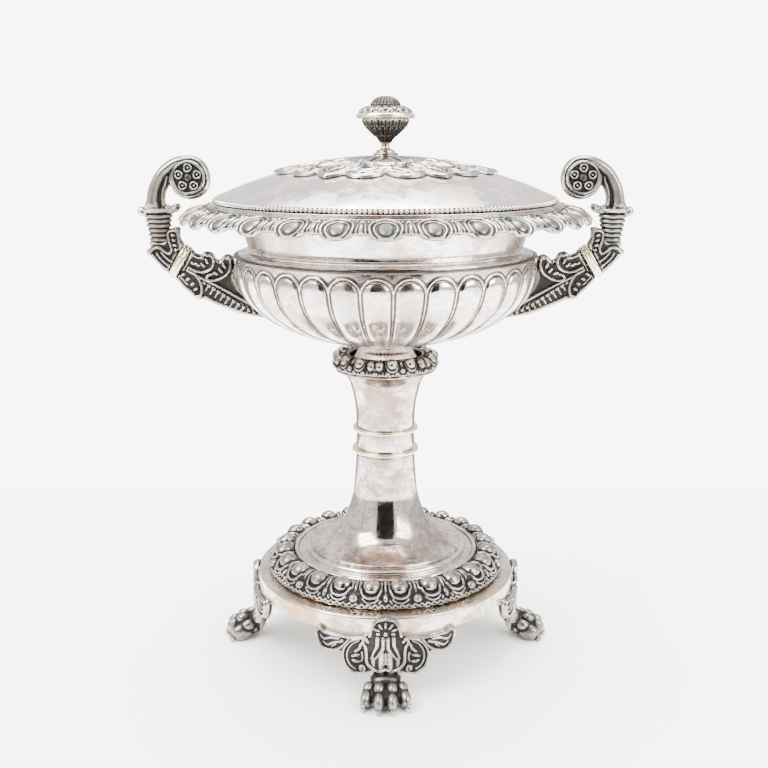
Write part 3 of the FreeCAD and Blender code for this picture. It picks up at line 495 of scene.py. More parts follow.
def metal(name, bright, warm, warm_amount, patina, patina_amount, recess_shade_and_tarnish, recess_shade_and_tarnish_amount, rough,
        recess_from=0.52, recess_to=0.70):
    """Metal with warm tarnish, patches of patina, painted shade with tarnish in its recesses and a soft,
    slightly uneven polish.
    """
    material, tree, add = node_tree(name)
    link = tree.links.new
    place = add("ShaderNodeTexCoord").outputs["Object"]
    cavity = add("ShaderNodeAttribute", attribute_name="cavity").outputs["Fac"]
    recess = add("ShaderNodeMapRange", interpolation_type="SMOOTHSTEP", in_1=recess_from, in_2=recess_to)
    link(cavity, recess.inputs["Value"])
    clouds = noise(tree, add, place, 40.0, 7.0, 0.72, 0.42, 0.60)
    flecks = noise(tree, add, place, 240.0, 6.0, 0.85, 0.47, 0.60, (1.0, 1.0, 2.2))
    both = add("ShaderNodeMath", operation="MULTIPLY_ADD", in_1=0.55)
    link(flecks, both.inputs[0])
    link(clouds, both.inputs[2])
    color = mixed(tree, add, clouds, bright, warm, warm_amount)
    color = mixed(tree, add, flecks, color, warm, warm_amount * 0.85)
    tone = noise(tree, add, place, 85.0, 3.0, 0.5, 0.45, 0.7)
    color = mixed(tree, add, tone, color, patina, patina_amount)
    # Painted shade with tarnish: points that the cavity map finds sunk below their surroundings darken
    # towards this colour.
    color = mixed(tree, add, recess.outputs["Result"], color, recess_shade_and_tarnish, recess_shade_and_tarnish_amount)
    worn = add("ShaderNodeMapRange", in_3=rough, in_4=rough + 0.2)
    link(both.outputs["Value"], worn.inputs["Value"])
    dull = add("ShaderNodeMath", operation="MULTIPLY_ADD", in_1=0.3)
    link(recess.outputs["Result"], dull.inputs[0])
    link(worn.outputs["Result"], dull.inputs[2])
    fine = add("ShaderNodeTexNoise", in_Scale=900.0, in_Detail=3.0)
    broad = add("ShaderNodeTexNoise", in_Scale=110.0, in_Detail=2.0)
    link(place, fine.inputs["Vector"])
    link(place, broad.inputs["Vector"])
    height = add("ShaderNodeMath", operation="MULTIPLY_ADD", in_1=0.12)
    link(fine.outputs["Fac"], height.inputs[0])
    link(broad.outputs["Fac"], height.inputs[2])
    bump_node = add("ShaderNodeBump", in_Strength=0.2, in_Distance=0.0002)
    link(height.outputs["Value"], bump_node.inputs["Height"])
    surface = add("ShaderNodeBsdfPrincipled", in_Metallic=1.0)
    link(color, surface.inputs["Base Color"])
    link(dull.outputs["Value"], surface.inputs["Roughness"])
    link(bump_node.outputs["Normal"], surface.inputs["Normal"])
    output = add("ShaderNodeOutputMaterial")
    link(surface.outputs["BSDF"], output.inputs["Surface"])
    return material


# The seventh and eighth values of each finish are its painted shade-with-tarnish colour for recesses and
# how much of it is used.
POLISHED = metal("polished_silver", (0.93, 0.87, 0.81), (0.30, 0.19, 0.14), 0.62, (0.48, 0.55, 0.60),
    0.3, (0.06, 0.038, 0.028), 0.94, 0.07, 0.503, 0.555)
STEM = metal("tarnished_silver", (0.86, 0.78, 0.70), (0.20, 0.11, 0.075), 0.8, (0.42, 0.49, 0.52), 0.35,
    (0.08, 0.05, 0.035), 0.9, 0.055)
DRUM = metal("drum_silver", (0.90, 0.84, 0.74), (0.40, 0.24, 0.13), 0.8, (0.38, 0.45, 0.43), 0.5,
    (0.10, 0.07, 0.05), 0.9, 0.12)
LID = metal("lid_silver", (0.95, 0.91, 0.87), (0.46, 0.31, 0.25), 0.5, (0.72, 0.75, 0.77), 0.25,
    (0.04, 0.032, 0.027), 0.95, 0.11, 0.51, 0.60)
CAST = metal("oxidised_silver", (0.70, 0.67, 0.63), (0.28, 0.20, 0.155), 0.6, (0.26, 0.31, 0.33), 0.4,
    (0.02, 0.017, 0.015), 0.96, 0.12, 0.38, 0.51)
DARK_CAST = metal("dark_cast_silver", (0.58, 0.55, 0.51), (0.19, 0.14, 0.105), 0.65,
    (0.17, 0.215, 0.235), 0.45, (0.018, 0.016, 0.015), 0.96, 0.11, 0.29, 0.49)
GREEN_CAST = metal("rim_silver", (0.56, 0.48, 0.42), (0.32, 0.20, 0.16), 0.6, (0.13, 0.25, 0.235), 0.65,
    (0.025, 0.032, 0.032), 0.95, 0.12, 0.30, 0.49)
# Painted shade: near-black silver for the ledge recess under the neck and for the rim behind the lid's
# beads, where shadow falls.
SHADED_RING = metal("painted_shade_ring_silver", (0.13, 0.11, 0.095), (0.07, 0.045, 0.035), 0.6,
    (0.16, 0.17, 0.17), 0.3, (0.03, 0.025, 0.02), 0.9, 0.28)
GILT = metal("gilt_silver", (0.98, 0.94, 0.74), (0.72, 0.60, 0.36), 0.45, (0.86, 0.86, 0.80), 0.2,
    (0.25, 0.19, 0.10), 0.7, 0.1)
BRASS = metal("fastener_brass", (0.72, 0.60, 0.36), (0.45, 0.34, 0.20), 0.4, (0.5, 0.5, 0.4), 0.2,
    (0.12, 0.09, 0.05), 0.7, 0.3)


# ---------------------------------------------------------------- plinth and stem

def make_plinth():
    """Drum, leaf border, bead wire and moulding."""
    drum = profile("plinth_shell", (7.5, 0), (0.0, 0), (0.0, 6.9))
    shoulder = bowed(drum[-1], profile("plinth_shell", (1.4, 8.3))[0], 1.4, 1)
    top = profile("plinth_shell", (3.4, 8.5), (6.3, 8.6), (18.0, 15.3), (18.6, 16.5), (34.5, 16.5),
        (34.5, 15.3), (19.6, 15.3), (18.8, 14.2), (6.7, 7.1), (1.4, 7.1), (1.2, 6.9), (1.2, 1.2),
        (7.5, 1.2))
    ring_piece("plinth_shell", joined(drum, shoulder, top), DRUM, radius=0.06)

    inner, crown = profile("plinth_leaf_border", (12.4, 8.7), (5.0, 7.2))
    edge = profile("plinth_leaf_border", (0.1, 0.6))[0]
    line = joined([inner], smooth_curve([inner, (inner + crown) / 2 + (0, 0.9), crown], 8),
        bowed(crown, edge, 12.0, -1)[1:])
    border("plinth_leaf_border", line, PLINTH_UNITS, 76, 46, plinth_edge, plinth_relief, 0.9, DARK_CAST,
        52.0)

    ring_radius = reach("plinth_bead_ring") - 1.0
    middle = (floor_of("plinth_bead_ring") + top_of("plinth_bead_ring")) / 2
    wire_section = arc_points((ring_radius, middle), 0.95, 0, 360, 17)[:-1]
    turned("plinth_bead_ring_piece", wire_section, "bowl", ["plinth_bead_ring"], POLISHED)

    foot = profile("plinth_moulding", (12.9, 0), (0.0, 0), (0.0, 0.7), (0.3, 0.95), (2.6, 1.15),
        (3.4, 1.25))
    roll = bowed(foot[-1], profile("plinth_moulding", (4.9, 3.8))[0], 1.75, 1)
    rest = profile("plinth_moulding", (5.6, 3.85), (12.9, 3.85))
    ring_piece("plinth_moulding", joined(foot, roll, rest), POLISHED)


def plinth_edge(u):
    """How far the border's edge falls short between its shells."""
    return 0.35 + 0.55 * np.abs(np.cos(u * np.pi / 13.6 * 2)) ** 0.7


def plinth_relief(u, v):
    """Pairs of large balls in leaf cups, leaves between them, buds and a waved line at the edge."""
    a = np.abs(u)
    pitch = 13.6
    parts, line, drop = relief_on(a, v)
    parts.append(0.2 * np.cos(a * 2.4) ** 2)
    drop((6.5, 4.9), (4.3, 4.2), 3.6)
    line([(1.9, 6.8), (3.4, 10.0), (6.5, 11.0), (9.6, 10.0), (11.1, 6.8)], 0.75, 1.7)
    line([(3.2, 11.3), (4.8, 12.6), (6.5, 12.9), (8.2, 12.6), (9.8, 11.3)], 0.55, 1.2)
    for place, height in ((0, 1.9), (1.75, 1.3), (11.9, 1.3), (pitch, 1.9)):
        drop((place, 4.2), (0.75, 4.0), height)
    drop((0, 10.4), (1.2, 2.3), 1.5)
    drop((pitch, 11.4), (2.2, 2.1), 2.6)
    drop((2.3, 12.4), (0.6, 1.4), 1.1, -30)
    parts.append(bump(v - 14.1 - 0.45 * np.cos(a * 2.3), 0.6, 1.1))
    return highest(*parts)


def make_stem():
    """Trumpet, gilt rings, sleeve, upper stem, capital and bowl foot collar."""
    foot = profile("stem_trumpet", (2.7, 0), (0, 0), (0, 1.0))
    lip, sweep, waist, top = profile("stem_trumpet", (0.4, 1.6), (17.3, 12.2), (22.3, 26.4), (23.85, 48.1))
    inside = profile("stem_trumpet", (25.3, 48.1), (23.7, 26.4), (18.5, 11.5), (2.7, 0.6))
    sweep_line = joined(foot, bowed(lip, sweep, 19.6, -1, 24), bowed(sweep, waist, 54.8, -1, 14)[1:],
        bowed(waist, top, 320, -1, 16)[1:], inside[:1], bowed(inside[0], inside[1], 320, 1, 8)[1:],
        bowed(inside[1], inside[2], 56, 1, 8)[1:], bowed(inside[2], inside[3], 20.8, 1, 10)[1:])
    turned("stem_trumpet_piece", sweep_line, "bowl", ["stem_trumpet"], STEM, cavity=0)

    for node in ("stem_ring_lower", "stem_ring_upper"):
        inner = profile(node, (3.7, 0), (0.62, 0))
        band = bowed(inner[1], profile(node, (0.62, 2.0))[0], 1.13, 1)
        ring_piece(node, joined(inner, band, profile(node, (3.7, 2.0))), GILT, around=192, radius=0.12)
    ring_piece("stem_sleeve", profile("stem_sleeve", (1.4, 0), (0, 0), (0.1, 8.8), (1.4, 8.8)), STEM,
        around=192, radius=0.1)

    inner, foot = profile("stem_upper", (11.6, 0), (10.3, 0))
    shaft, flare, under = profile("stem_upper", (10.05, 7.4), (7.5, 21.0), (0.25, 28.5))
    edge = profile("stem_upper", (0, 28.8), (0.1, 29.5), (7.0, 32.1), (15.6, 32.1), (15.6, 30.9),
        (8.2, 30.9), (8.9, 21.0), (11.4, 7.4))
    ring_piece("stem_upper", joined([inner, foot], bowed(shaft, flare, 60, -1, 14),
        bowed(flare, under, 9.5, -1, 14)[1:], edge), STEM, around=216)

    inner, crown, edge = profile("capital_border", (7.4, 7.0), (3.2, 5.9), (0.05, 1.1))
    line = joined([inner], bowed(crown, edge, 4.6, -1, 14), profile("capital_border", (0.5, 0.05)))
    border("capital_border", line, CAPITAL_UNITS, 84, 36, capital_edge, capital_relief, 0.7, DARK_CAST,
        23.0, 18.5)

    collar = profile("bowl_foot_collar", (6.4, 0), (0.1, 0), (0, 3.1), (0.7, 3.8))
    cove = bowed(*profile("bowl_foot_collar", (1.9, 5.6), (3.7, 8.6)), 6.0, -1)
    ring_piece("bowl_foot_collar", joined(collar, cove, profile("bowl_foot_collar", (3.7, 10.2),
        (6.4, 10.2))), POLISHED, around=192)


def capital_edge(u):
    return 0.2 + 0.5 * np.abs(np.sin(u * np.pi / 24.1 * 4)) ** 0.6


def capital_relief(u, v):
    """Large eggs with leaves and pearls between them, folded under at the edge."""
    a = np.abs(u)
    pitch = 12.04
    parts, line, drop = relief_on(a, v)
    parts.append(0.2 * np.cos(a * 2.2) ** 2)
    drop((4.4, 5.2), (2.75, 2.7), 3.0)
    line([(1.5, 2.2), (1.6, 5.6), (3.0, 8.2), (4.5, 8.7), (6.0, 8.1), (7.3, 5.6), (7.3, 2.2)], 0.45, 0.9)
    drop((0, 4.0), (0.8, 2.4), 1.3)
    drop((0, 8.4), (1.2, 1.2), 1.5)
    drop((9.0, 4.2), (0.7, 2.8), 1.2)
    drop((10.3, 4.8), (0.6, 2.8), 1.1, -8)
    drop((pitch, 5.2), (0.8, 3.4), 1.5)
    drop((10.2, 6.0), (2.1, 2.5), 2.3)
    drop((2.4, 9.6), (0.9, 0.8), 1.0)
    drop((6.6, 9.6), (0.9, 0.8), 1.0)
    drop((pitch, 9.8), (1.3, 0.9), 1.2)
    return highest(*parts)


# ---------------------------------------------------------------- bowl

def lobe_field(x, drop, half):
    """Depth inside the nearest lobe: x from its middle, drop below the shell's edge, half its width."""
    cap = 2.2 + half
    return half - np.where(drop < cap, np.hypot(x, np.minimum(drop - cap, 0)), np.abs(x))


def make_bowl_body():
    """Lobed bowl, its lobes pressed out of the sheet so that they show inside too."""
    foot = profile("bowl_body", (71.6, 0), (59.8, 0))
    belly, flank, shoulder, edge = profile("bowl_body", (26.6, 7.65), (7.6, 19.74), (0.0, 36.2),
        (0.0, 42.2))
    outer = joined(foot, bowed(foot[1], belly, 114, 1, 40)[1:], bowed(belly, flank, 57.4, 1, 30)[1:],
        bowed(flank, shoulder, 24, 1, 30)[1:], [edge])
    outer, length = resampled(outer, 600)
    drops = np.r_[np.linspace(length, 26, 62)[:-1], np.linspace(26, 0, 66)]
    along = length - drops
    at = np.linspace(0, length, 600)
    section = np.c_[np.interp(along, at, outer[:, 0]), np.interp(along, at, outer[:, 1])]
    normals = section_normals(section)
    normals[-1] = (1, 0)
    per_lobe = 28
    theta = np.linspace(0, 2 * np.pi, LOBES * per_lobe, endpoint=False) + math.radians(LOBE_START)
    pitch = 2 * np.pi / LOBES
    local = np.mod(theta - math.radians(LOBE_START), pitch) - pitch / 2
    half = section[:, 0] * pitch / 2
    scale = np.clip(half / 7.0, 0.05, 1)
    field = lobe_field(local[:, None] * section[None, :, 0], drops[None, :], half[None, :])
    gap = 0.95 * scale
    swell = pillow(field - gap, np.maximum(half - gap, 0.1) * 0.9) * 1.7 * scale
    ridge = bump(field, 0.42 * scale + 0.06, 0.5) * (0.3 + 0.7 * scale)
    fade = round_step(section[:, 0], 12.5, 17)
    lift = (np.maximum(swell, ridge) - 0.75 * scale) * fade
    top, high, flank, belly, low, middle = profile("bowl_body", (1.6, 42.2), (1.6, 36.2), (8.9, 20.7),
        (27.3, 9.2), (60.0, 1.6), (71.6, 1.6))
    inside = joined([top], bowed(high, flank, 22.4, -1, 16), bowed(flank, belly, 55.8, -1, 14)[1:],
        bowed(belly, low, 112.4, -1, 18)[1:], [middle])
    inner_normals = section_normals(inside)
    inner_half = inside[:, 0] * pitch / 2
    inner_drop = inside[0, 1] - inside[:, 1]
    inner_field = lobe_field(local[:, None] * inside[None, :, 0], inner_drop[None, :], inner_half[None, :])
    inner_scale = np.clip(inner_half / 7.0, 0.05, 1) * round_step(inside[:, 0], 12.5, 17)
    inner_lift = -(pillow(inner_field, np.maximum(inner_half, 0.1)) * 1.5 - 0.75) * inner_scale
    r = np.hstack([section[:, 0] + normals[:, 0] * lift, inside[:, 0] + inner_normals[:, 0] * inner_lift])
    z = np.hstack([section[:, 1] + normals[:, 1] * lift, inside[:, 1] + inner_normals[:, 1] * inner_lift])
    r = np.where(np.r_[section[:, 0], inside[:, 0]][None, :] < 1e-6, 0, r)
    faces = grid_faces(len(theta), r.shape[1], True, False)
    mesh_piece("bowl_body_piece", turned_points(theta, r, z), faces, "bowl", ["bowl_body"], POLISHED,
        weld=True, cavity=10)


def make_bowl():
    """Lobed bowl, ledge, neck, plate, seat ring and border."""
    make_bowl_body()
    # The ledge is painted dark as the shaded recess between the lobes and the neck.
    ring_piece("bowl_ledge", profile("bowl_ledge", (6.2, 0), (0.3, 0), (0.0, 0.5), (0.3, 1.0),
        (6.2, 1.0)), SHADED_RING, radius=0.15)
    foot = profile("bowl_neck", (8.4, 0), (2.1, 0), (2.3, 0.9))
    fillet = bowed(*profile("bowl_neck", (5.6, 1.2), (7.1, 3.0)), 1.9, -1)
    cove = bowed(*profile("bowl_neck", (2.0, 20.0), (0, 21.9)), 2.4, -1)
    mouth = bowed(*profile("bowl_neck", (0.6, 23.2), (3.3, 20.7)), 3.4, 1)
    ring_piece("bowl_neck", joined(foot, fillet, cove, profile("bowl_neck", (0, 23.2)), mouth,
        profile("bowl_neck", (8.3, 3.2))), POLISHED)
    ring_piece("rim_plate", profile("rim_plate", (10.0, 0), (0, 0), (0, 1.3), (10.0, 1.3)), POLISHED,
        radius=0.1)
    ring_piece("rim_seat_ring", profile("rim_seat_ring", (3.4, 0), (0, 0), (0, 0.9), (3.4, 0.9)),
        POLISHED, radius=0.3)

    inner, crest, tip = profile("rim_border", (14.5, 7.1), (9.1, 6.0), (0.1, 0.7))
    line = joined(smooth_curve([inner, (inner + crest) / 2 + (0, 0.3), crest], 8)[:-1],
        bowed(crest, tip, 14, -1, 24))
    border("rim_border", line, RIM_LEAVES, 64, 60, rim_edge, rim_relief, 0.9, GREEN_CAST, 90.0)


def rim_edge(u):
    """The border ends in round tongues under the eggs, cut back between them."""
    a = np.abs(u)
    tongue = 6.6 * (1 - np.sqrt(np.clip(1 - (a / 6.75) ** 2, 0, 1)))
    return np.minimum(tongue * 0.55, 3.1 - 0.5 * np.clip((a - 7.4) / 2, 0, 1))


def rim_relief(u, v):
    """Eggs in hooded frames, with darts between them and a plain band at the seat."""
    a = np.abs(u)
    parts, line, drop = relief_on(a, v)
    parts.append(0.1 + 0 * a)
    parts.append(bump(v - 0.9, 0.8, 0.7))
    parts.append(bump((np.hypot(a / 6.3, (v - 10.4) / 7.3) - 1) * 6.6, 0.75, 1.35))
    parts.append(bump((np.hypot(a / 4.5, (v - 10.4) / 5.6) - 1) * 4.9, 0.5, 0.95))
    drop((0, 10.4), (3.0, 4.2), 1.45)
    drop((9.42, 11.0), (1.15, 4.6), 1.7)
    line([(7.3, 15.4), (7.75, 11.0), (8.2, 7.0), (8.9, 4.0)], (0.5, 0.35), 1.2)
    drop((9.42, 4.2), (0.9, 1.3), 1.0)
    drop((7.1, 4.0), (0.6, 1.1), 0.8, 30)
    drop((5.6, 3.4), (0.55, 0.9), 0.7, 50)
    return highest(*parts)


# ---------------------------------------------------------------- feet

BRACKET_HALF = [(0, 40.5), (3.9, 39.5), (6.3, 36.3), (7.4, 32.9), (9.0, 31.3), (15.8, 30.2),
    (21.8, 30.5), (27.8, 31.0), (31.2, 32.8), (33.2, 31.8), (33.4, 29.0), (32.2, 24.9), (29.6, 21.9),
    (25.8, 21.1), (22.0, 22.0), (20.2, 21.2), (19.8, 18.6), (18.2, 14.8), (15.0, 12.4), (11.4, 11.8),
    (8.6, 12.4), (5.4, 12.9), (2.4, 12.6)]


def bracket_relief(u, v):
    """Palmette in an arch, a lyre with drooping leaves, leafy scrolls and wings."""
    a = np.abs(u)
    parts, line, drop = relief_on(a, v)
    line([(7.0, 31.4), (6.3, 35.6), (3.9, 38.9), (0, 40.0)], 0.95, 1.5)
    for centre, turn in (((0, 36.4), 0), ((2.3, 35.9), -34), ((4.0, 34.4), -66)):
        drop(centre, (0.75, 1.9), 1.2, turn)
    drop((3.4, 32.3), (1.15, 1.0), 1.2)
    drop((0, 32.2), (1.1, 1.3), 1.3)
    line([(7.7, 28.4), (8.9, 29.9), (10.0, 28.6), (8.9, 25.8), (8.5, 21.8), (8.2, 18.0), (5.4, 14.9),
        (2.4, 14.0), (0, 14.9)], 0.85, 1.6)
    line([(0.9, 29.8), (1.1, 25.4), (2.6, 22.6), (4.9, 19.4)], (1.25, 0.5), 1.3)
    line([(3.6, 30.0), (3.9, 26.2), (5.3, 22.8), (6.4, 20.0)], (1.2, 0.5), 1.2)
    line([(0, 22.6), (0, 18.4), (1.6, 16.8)], (0.5, 1.0), 1.0)
    line([(10.4, 30.4), (15.4, 28.3), (18.6, 24.2), (19.1, 19.4), (17.6, 15.2), (14.6, 12.9),
        (11.2, 12.7), (9.4, 14.3), (9.9, 16.2), (11.4, 16.0)], 0.7, 1.4)
    line([(11.8, 28.8), (15.0, 26.7), (17.1, 23.0), (17.3, 19.3), (15.9, 16.2), (13.6, 14.4)], 0.45, 1.0)
    drop((10.9, 15.0), (1.3, 1.3), 1.6)
    for centre, radii, turn in (((10.9, 26.9), (1.0, 2.5), 24), ((12.4, 24.3), (1.0, 2.6), 48),
            ((13.5, 21.3), (1.0, 2.5), 72), ((13.4, 18.5), (0.9, 2.2), 100)):
        drop(centre, radii, 1.3, turn)
    line([(10.5, 22.8), (10.2, 20.2), (10.9, 18.4)], (0.7, 0.4), 1.0)
    line([(16.4, 29.1), (20.6, 24.2), (25.2, 22.2), (29.2, 23.1), (31.4, 26.2), (32.3, 29.6),
        (31.4, 31.4)], 0.7, 1.3)
    line([(9.4, 30.4), (15.8, 29.5), (21.8, 29.8), (27.6, 30.2), (30.4, 31.4)], 0.5, 0.8)
    line([(19.6, 27.6), (23.0, 26.6), (26.6, 24.6), (28.9, 25.6)], (1.1, 0.5), 1.2)
    line([(21.4, 28.8), (25.2, 28.4), (28.4, 27.2), (30.2, 28.4)], (1.0, 0.5), 1.1)
    line([(22.8, 25.6), (24.8, 23.9)], (0.7, 0.4), 0.9)
    return highest(*parts)


def make_foot_bracket(name, turn):
    """Openwork plate bent to the drum, over one foot."""
    node = f"foot_bracket_{name}"
    right = BRACKET_HALF[1:]
    outline = closed_curve([BRACKET_HALF[0]] + right + [(-u, v) for u, v in reversed(right)], 5)
    low, high = outline.min(0) - 0.4, outline.max(0) + 0.4
    u, v, faces, rim_edges = cut_sheet(low, high, 0.34, lambda a, b: polygon_depth(a, b, outline))
    depth = polygon_depth(u, v, outline)
    swell = 0.7 + 0.8 * pillow(depth, 1.2) + bracket_relief(u, v) * np.clip(depth / 0.45, 0, 1)
    drum = reach("plinth_shell") + 0.08

    def sheet(offset):
        angle = u / drum + math.radians(turn)
        return np.c_[(drum + offset) * np.cos(angle), (drum + offset) * np.sin(angle), v]

    points, quads = two_sided(u, v, faces, rim_edges, lambda a, b: sheet(swell), lambda a, b: sheet(0 * u))
    mesh_piece(f"{node}_piece", points, quads, "bowl", [node], DARK_CAST, weld=True)


def lump(centre, radii, turn, lean):
    """Points of an egg of given radii, turned in plan and leaning forward."""
    theta = np.linspace(0, 2 * np.pi, EGG_AROUND, endpoint=False)
    phi = np.linspace(0.02, np.pi - 0.02, EGG_RINGS)
    unit = egg_points(theta, phi) * radii
    spin = Matrix.Rotation(math.radians(turn), 3, "Z") @ Matrix.Rotation(math.radians(lean), 3, "Y")
    return unit @ np.array(spin).T + centre


def paw_lumps():
    """The eggs that a paw and its fluted leg are built up from, paw pointing along X."""
    lumps = [((70.4, 0, 5.4), (8.0, 8.4, 4.8), 0, 0), ((66.0, 0, 8.0), (4.6, 7.0, 4.2), 0, 20)]
    for side in (-1, 1):
        lumps += [((77.4, side * 2.9, 4.7), (5.0, 2.75, 4.5), side * 3, 14),
            ((73.8, side * 2.9, 8.9), (3.4, 2.5, 3.0), 0, 24),
            ((73.6, side * 8.6, 4.3), (5.3, 3.0, 4.2), side * 16, 14),
            ((70.6, side * 7.9, 7.7), (3.5, 2.6, 2.8), side * 14, 24),
            ((81.0, side * 3.0, 2.2), (2.0, 1.25, 2.2), side * 3, -20),
            ((78.0, side * 10.1, 2.1), (1.9, 1.3, 2.1), side * 16, -20)]
        for across, deep in ((1.95, 64.6), (5.6, 63.9)):
            lumps.append(((deep, side * across, 16.0), (2.2, 1.95, 12.5), 0, 0))
    lumps.append(((60.8, 0, 20.0), (2.6, 7.2, 12.0), 0, 0))
    lumps.append(((60.9, 0, 30.3), (3.5, 7.6, 1.05), 0, 0))
    return lumps


def make_feet():
    """Four paws built up from one shape, each with its bracket."""
    points, faces, first = [], [], 0
    for centre, radii, turn, lean in paw_lumps():
        place = lump(centre, radii, turn, lean)
        quads = grid_faces(EGG_AROUND, EGG_RINGS, True, False) + first
        top = [first + k * EGG_RINGS for k in range(EGG_AROUND)]
        bottom = [k + EGG_RINGS - 1 for k in top]
        points.append(place)
        faces += quads.tolist() + [top, bottom[::-1]]
        first += len(place)
    mesh = bpy.data.meshes.new("paw_eggs")
    mesh.from_pydata((np.vstack(points) * MM).tolist(), [], faces)
    shape = bpy.data.objects.new("paw_eggs", mesh)
    bpy.context.scene.collection.objects.link(shape)
    remesh = shape.modifiers.new("skin", "REMESH")
    remesh.mode = "VOXEL"
    remesh.voxel_size = 0.42 * MM
    ease = shape.modifiers.new("ease", "SMOOTH")
    ease.factor = 0.5
    ease.iterations = 3
    skin = bpy.data.meshes.new_from_object(shape.evaluated_get(bpy.context.evaluated_depsgraph_get()))
    bpy.data.objects.remove(shape)
    place = np.empty(len(skin.vertices) * 3)
    skin.vertices.foreach_get("co", place)
    place = place.reshape(-1, 3) / MM
    place[:, 2] = np.clip(place[:, 2], 0.02, floor_of("plinth_shell") - 0.02)
    quads = np.empty(len(skin.polygons) * 4, np.int64)
    skin.polygons.foreach_get("vertices", quads)
    bpy.data.meshes.remove(skin)
    for name, turn in FEET.items():
        c, s = math.cos(math.radians(turn)), math.sin(math.radians(turn))
        spun = np.c_[place[:, 0] * c - place[:, 1] * s, place[:, 0] * s + place[:, 1] * c, place[:, 2]]
        mesh_piece(f"foot_{name}_piece", spun, quads.reshape(-1, 4), "bowl", [f"foot_{name}"],
            DARK_CAST, cavity=20)
        make_foot_bracket(name, turn)


# ---------------------------------------------------------------- handles

def handle_bracket_relief(u, v):
    """Spear leaf with scales, a rib above it, an outlined inner leaf and two shell scrolls."""
    parts, line, drop = relief_on(u, v)
    line([(56.0, 168.6), (69.5, 176.3), (79.8, 182.1), (87.7, 186.1), (93.9, 189.6)], 0.75, 1.5)
    line([(55.5, 166.1), (68.6, 169.5), (80.0, 173.8), (86.4, 177.0)], 0.6, 0.9)
    scales = resampled(smooth_curve([(58.0, 167.4), (64.0, 169.9), (69.1, 172.5), (77.6, 178.0),
        (86.6, 184.1)], 8), 13)[0]
    for index, (x, z) in enumerate(scales):
        size = 0.7 + 0.035 * index
        drop((x, z), (1.35 * size, 1.1 * size), 1.3, 40)
        line([(x + 0.9, z - 1.0), (x + 1.9, z - 2.6)], (0.5 * size, 0.3), 0.8)
        line([(x + 0.2, z + 0.9), (x + 1.2, z + 2.3)], (0.4 * size, 0.3), 0.6)
    line([(94.3, 190.0), (90.6, 187.9), (88.4, 184.5), (87.7, 180.9), (88.7, 177.7), (91.2, 177.3),
        (92.0, 178.5)], 0.8, 1.7)
    for centre in ((96.3, 187.9), (94.2, 185.6), (92.1, 183.3), (90.6, 180.7)):
        drop(centre, (1.4, 0.85), 1.3, -30)
    line([(93.4, 179.6), (96.4, 182.2), (99.2, 185.6)], 0.8, 0.9)
    line([(94.6, 183.2), (97.6, 186.6)], (0.5, 0.4), 0.8)
    line([(75.6, 195.6), (73.9, 195.4), (73.6, 191.9), (75.5, 187.9), (79.7, 185.4), (83.7, 185.0),
        (85.3, 186.2), (84.3, 187.5)], 0.8, 1.6)
    for centre, radii, turn in (((76.8, 192.0), (0.9, 1.8), -30), ((78.4, 189.6), (0.95, 1.9), -45),
            ((81.0, 188.3), (0.95, 1.8), -65), ((83.2, 187.8), (0.8, 1.2), -85)):
        drop(centre, radii, 1.3, turn)
    line([(84.6, 196.9), (82.6, 196.8), (81.5, 194.2), (82.7, 190.8), (85.9, 189.1), (89.9, 189.4),
        (93.6, 191.2)], 0.8, 1.6)
    for centre, radii, turn in (((84.9, 194.0), (0.8, 1.7), -25), ((86.7, 192.2), (0.9, 1.7), -50),
            ((89.3, 192.4), (0.9, 1.6), -60), ((91.6, 193.2), (0.8, 1.4), -60)):
        drop(centre, radii, 1.3, turn)
    line([(86.6, 195.6), (89.4, 196.2), (92.4, 197.8)], (0.7, 0.5), 0.9)
    return highest(*parts)


HANDLE_BRACKET = [(51.4, 164.6), (58.0, 166.4), (64.8, 167.5), (70.9, 168.7), (77.0, 171.0),
    (82.5, 173.4), (86.6, 175.2), (88.6, 175.4), (91.3, 175.9), (93.2, 177.9), (96.0, 180.2),
    (98.6, 183.4), (100.25, 185.8), (98.2, 189.1), (94.6, 195.2), (92.3, 199.1), (90.6, 197.6),
    (88.0, 196.9), (86.4, 198.2), (84.4, 198.3), (82.4, 197.2), (81.2, 195.0), (79.2, 194.4),
    (77.6, 196.2), (75.4, 197.0), (72.9, 195.8), (72.3, 192.8), (71.9, 188.0), (70.4, 183.4),
    (67.6, 178.3), (64.4, 174.4), (60.2, 170.4), (55.6, 167.2)]
ELBOW = [(103.7, 187.9), (106.6, 190.4), (109.4, 193.6), (111.6, 195.8), (113.4, 197.2), (113.2, 199.4),
    (111.9, 200.2), (111.7, 203.4), (105.0, 203.6), (103.9, 207.4), (101.6, 209.4), (98.6, 209.6),
    (97.6, 207.8), (97.6, 204.9), (95.9, 201.2), (98.2, 197.2), (101.2, 192.1)]
HORN = [(103.4, 218.9), (113.3, 218.9), (112.9, 222.4), (111.7, 227.8), (109.6, 232.6), (106.4, 237.2),
    (102.2, 240.6), (97.6, 242.7), (91.6, 243.2), (87.4, 242.0), (84.2, 239.2), (82.5, 235.0),
    (82.4, 231.0), (84.0, 226.8), (87.5, 223.9), (92.0, 222.9), (96.4, 224.0), (99.7, 226.6),
    (101.4, 229.4), (103.4, 226.2), (104.0, 222.6)]


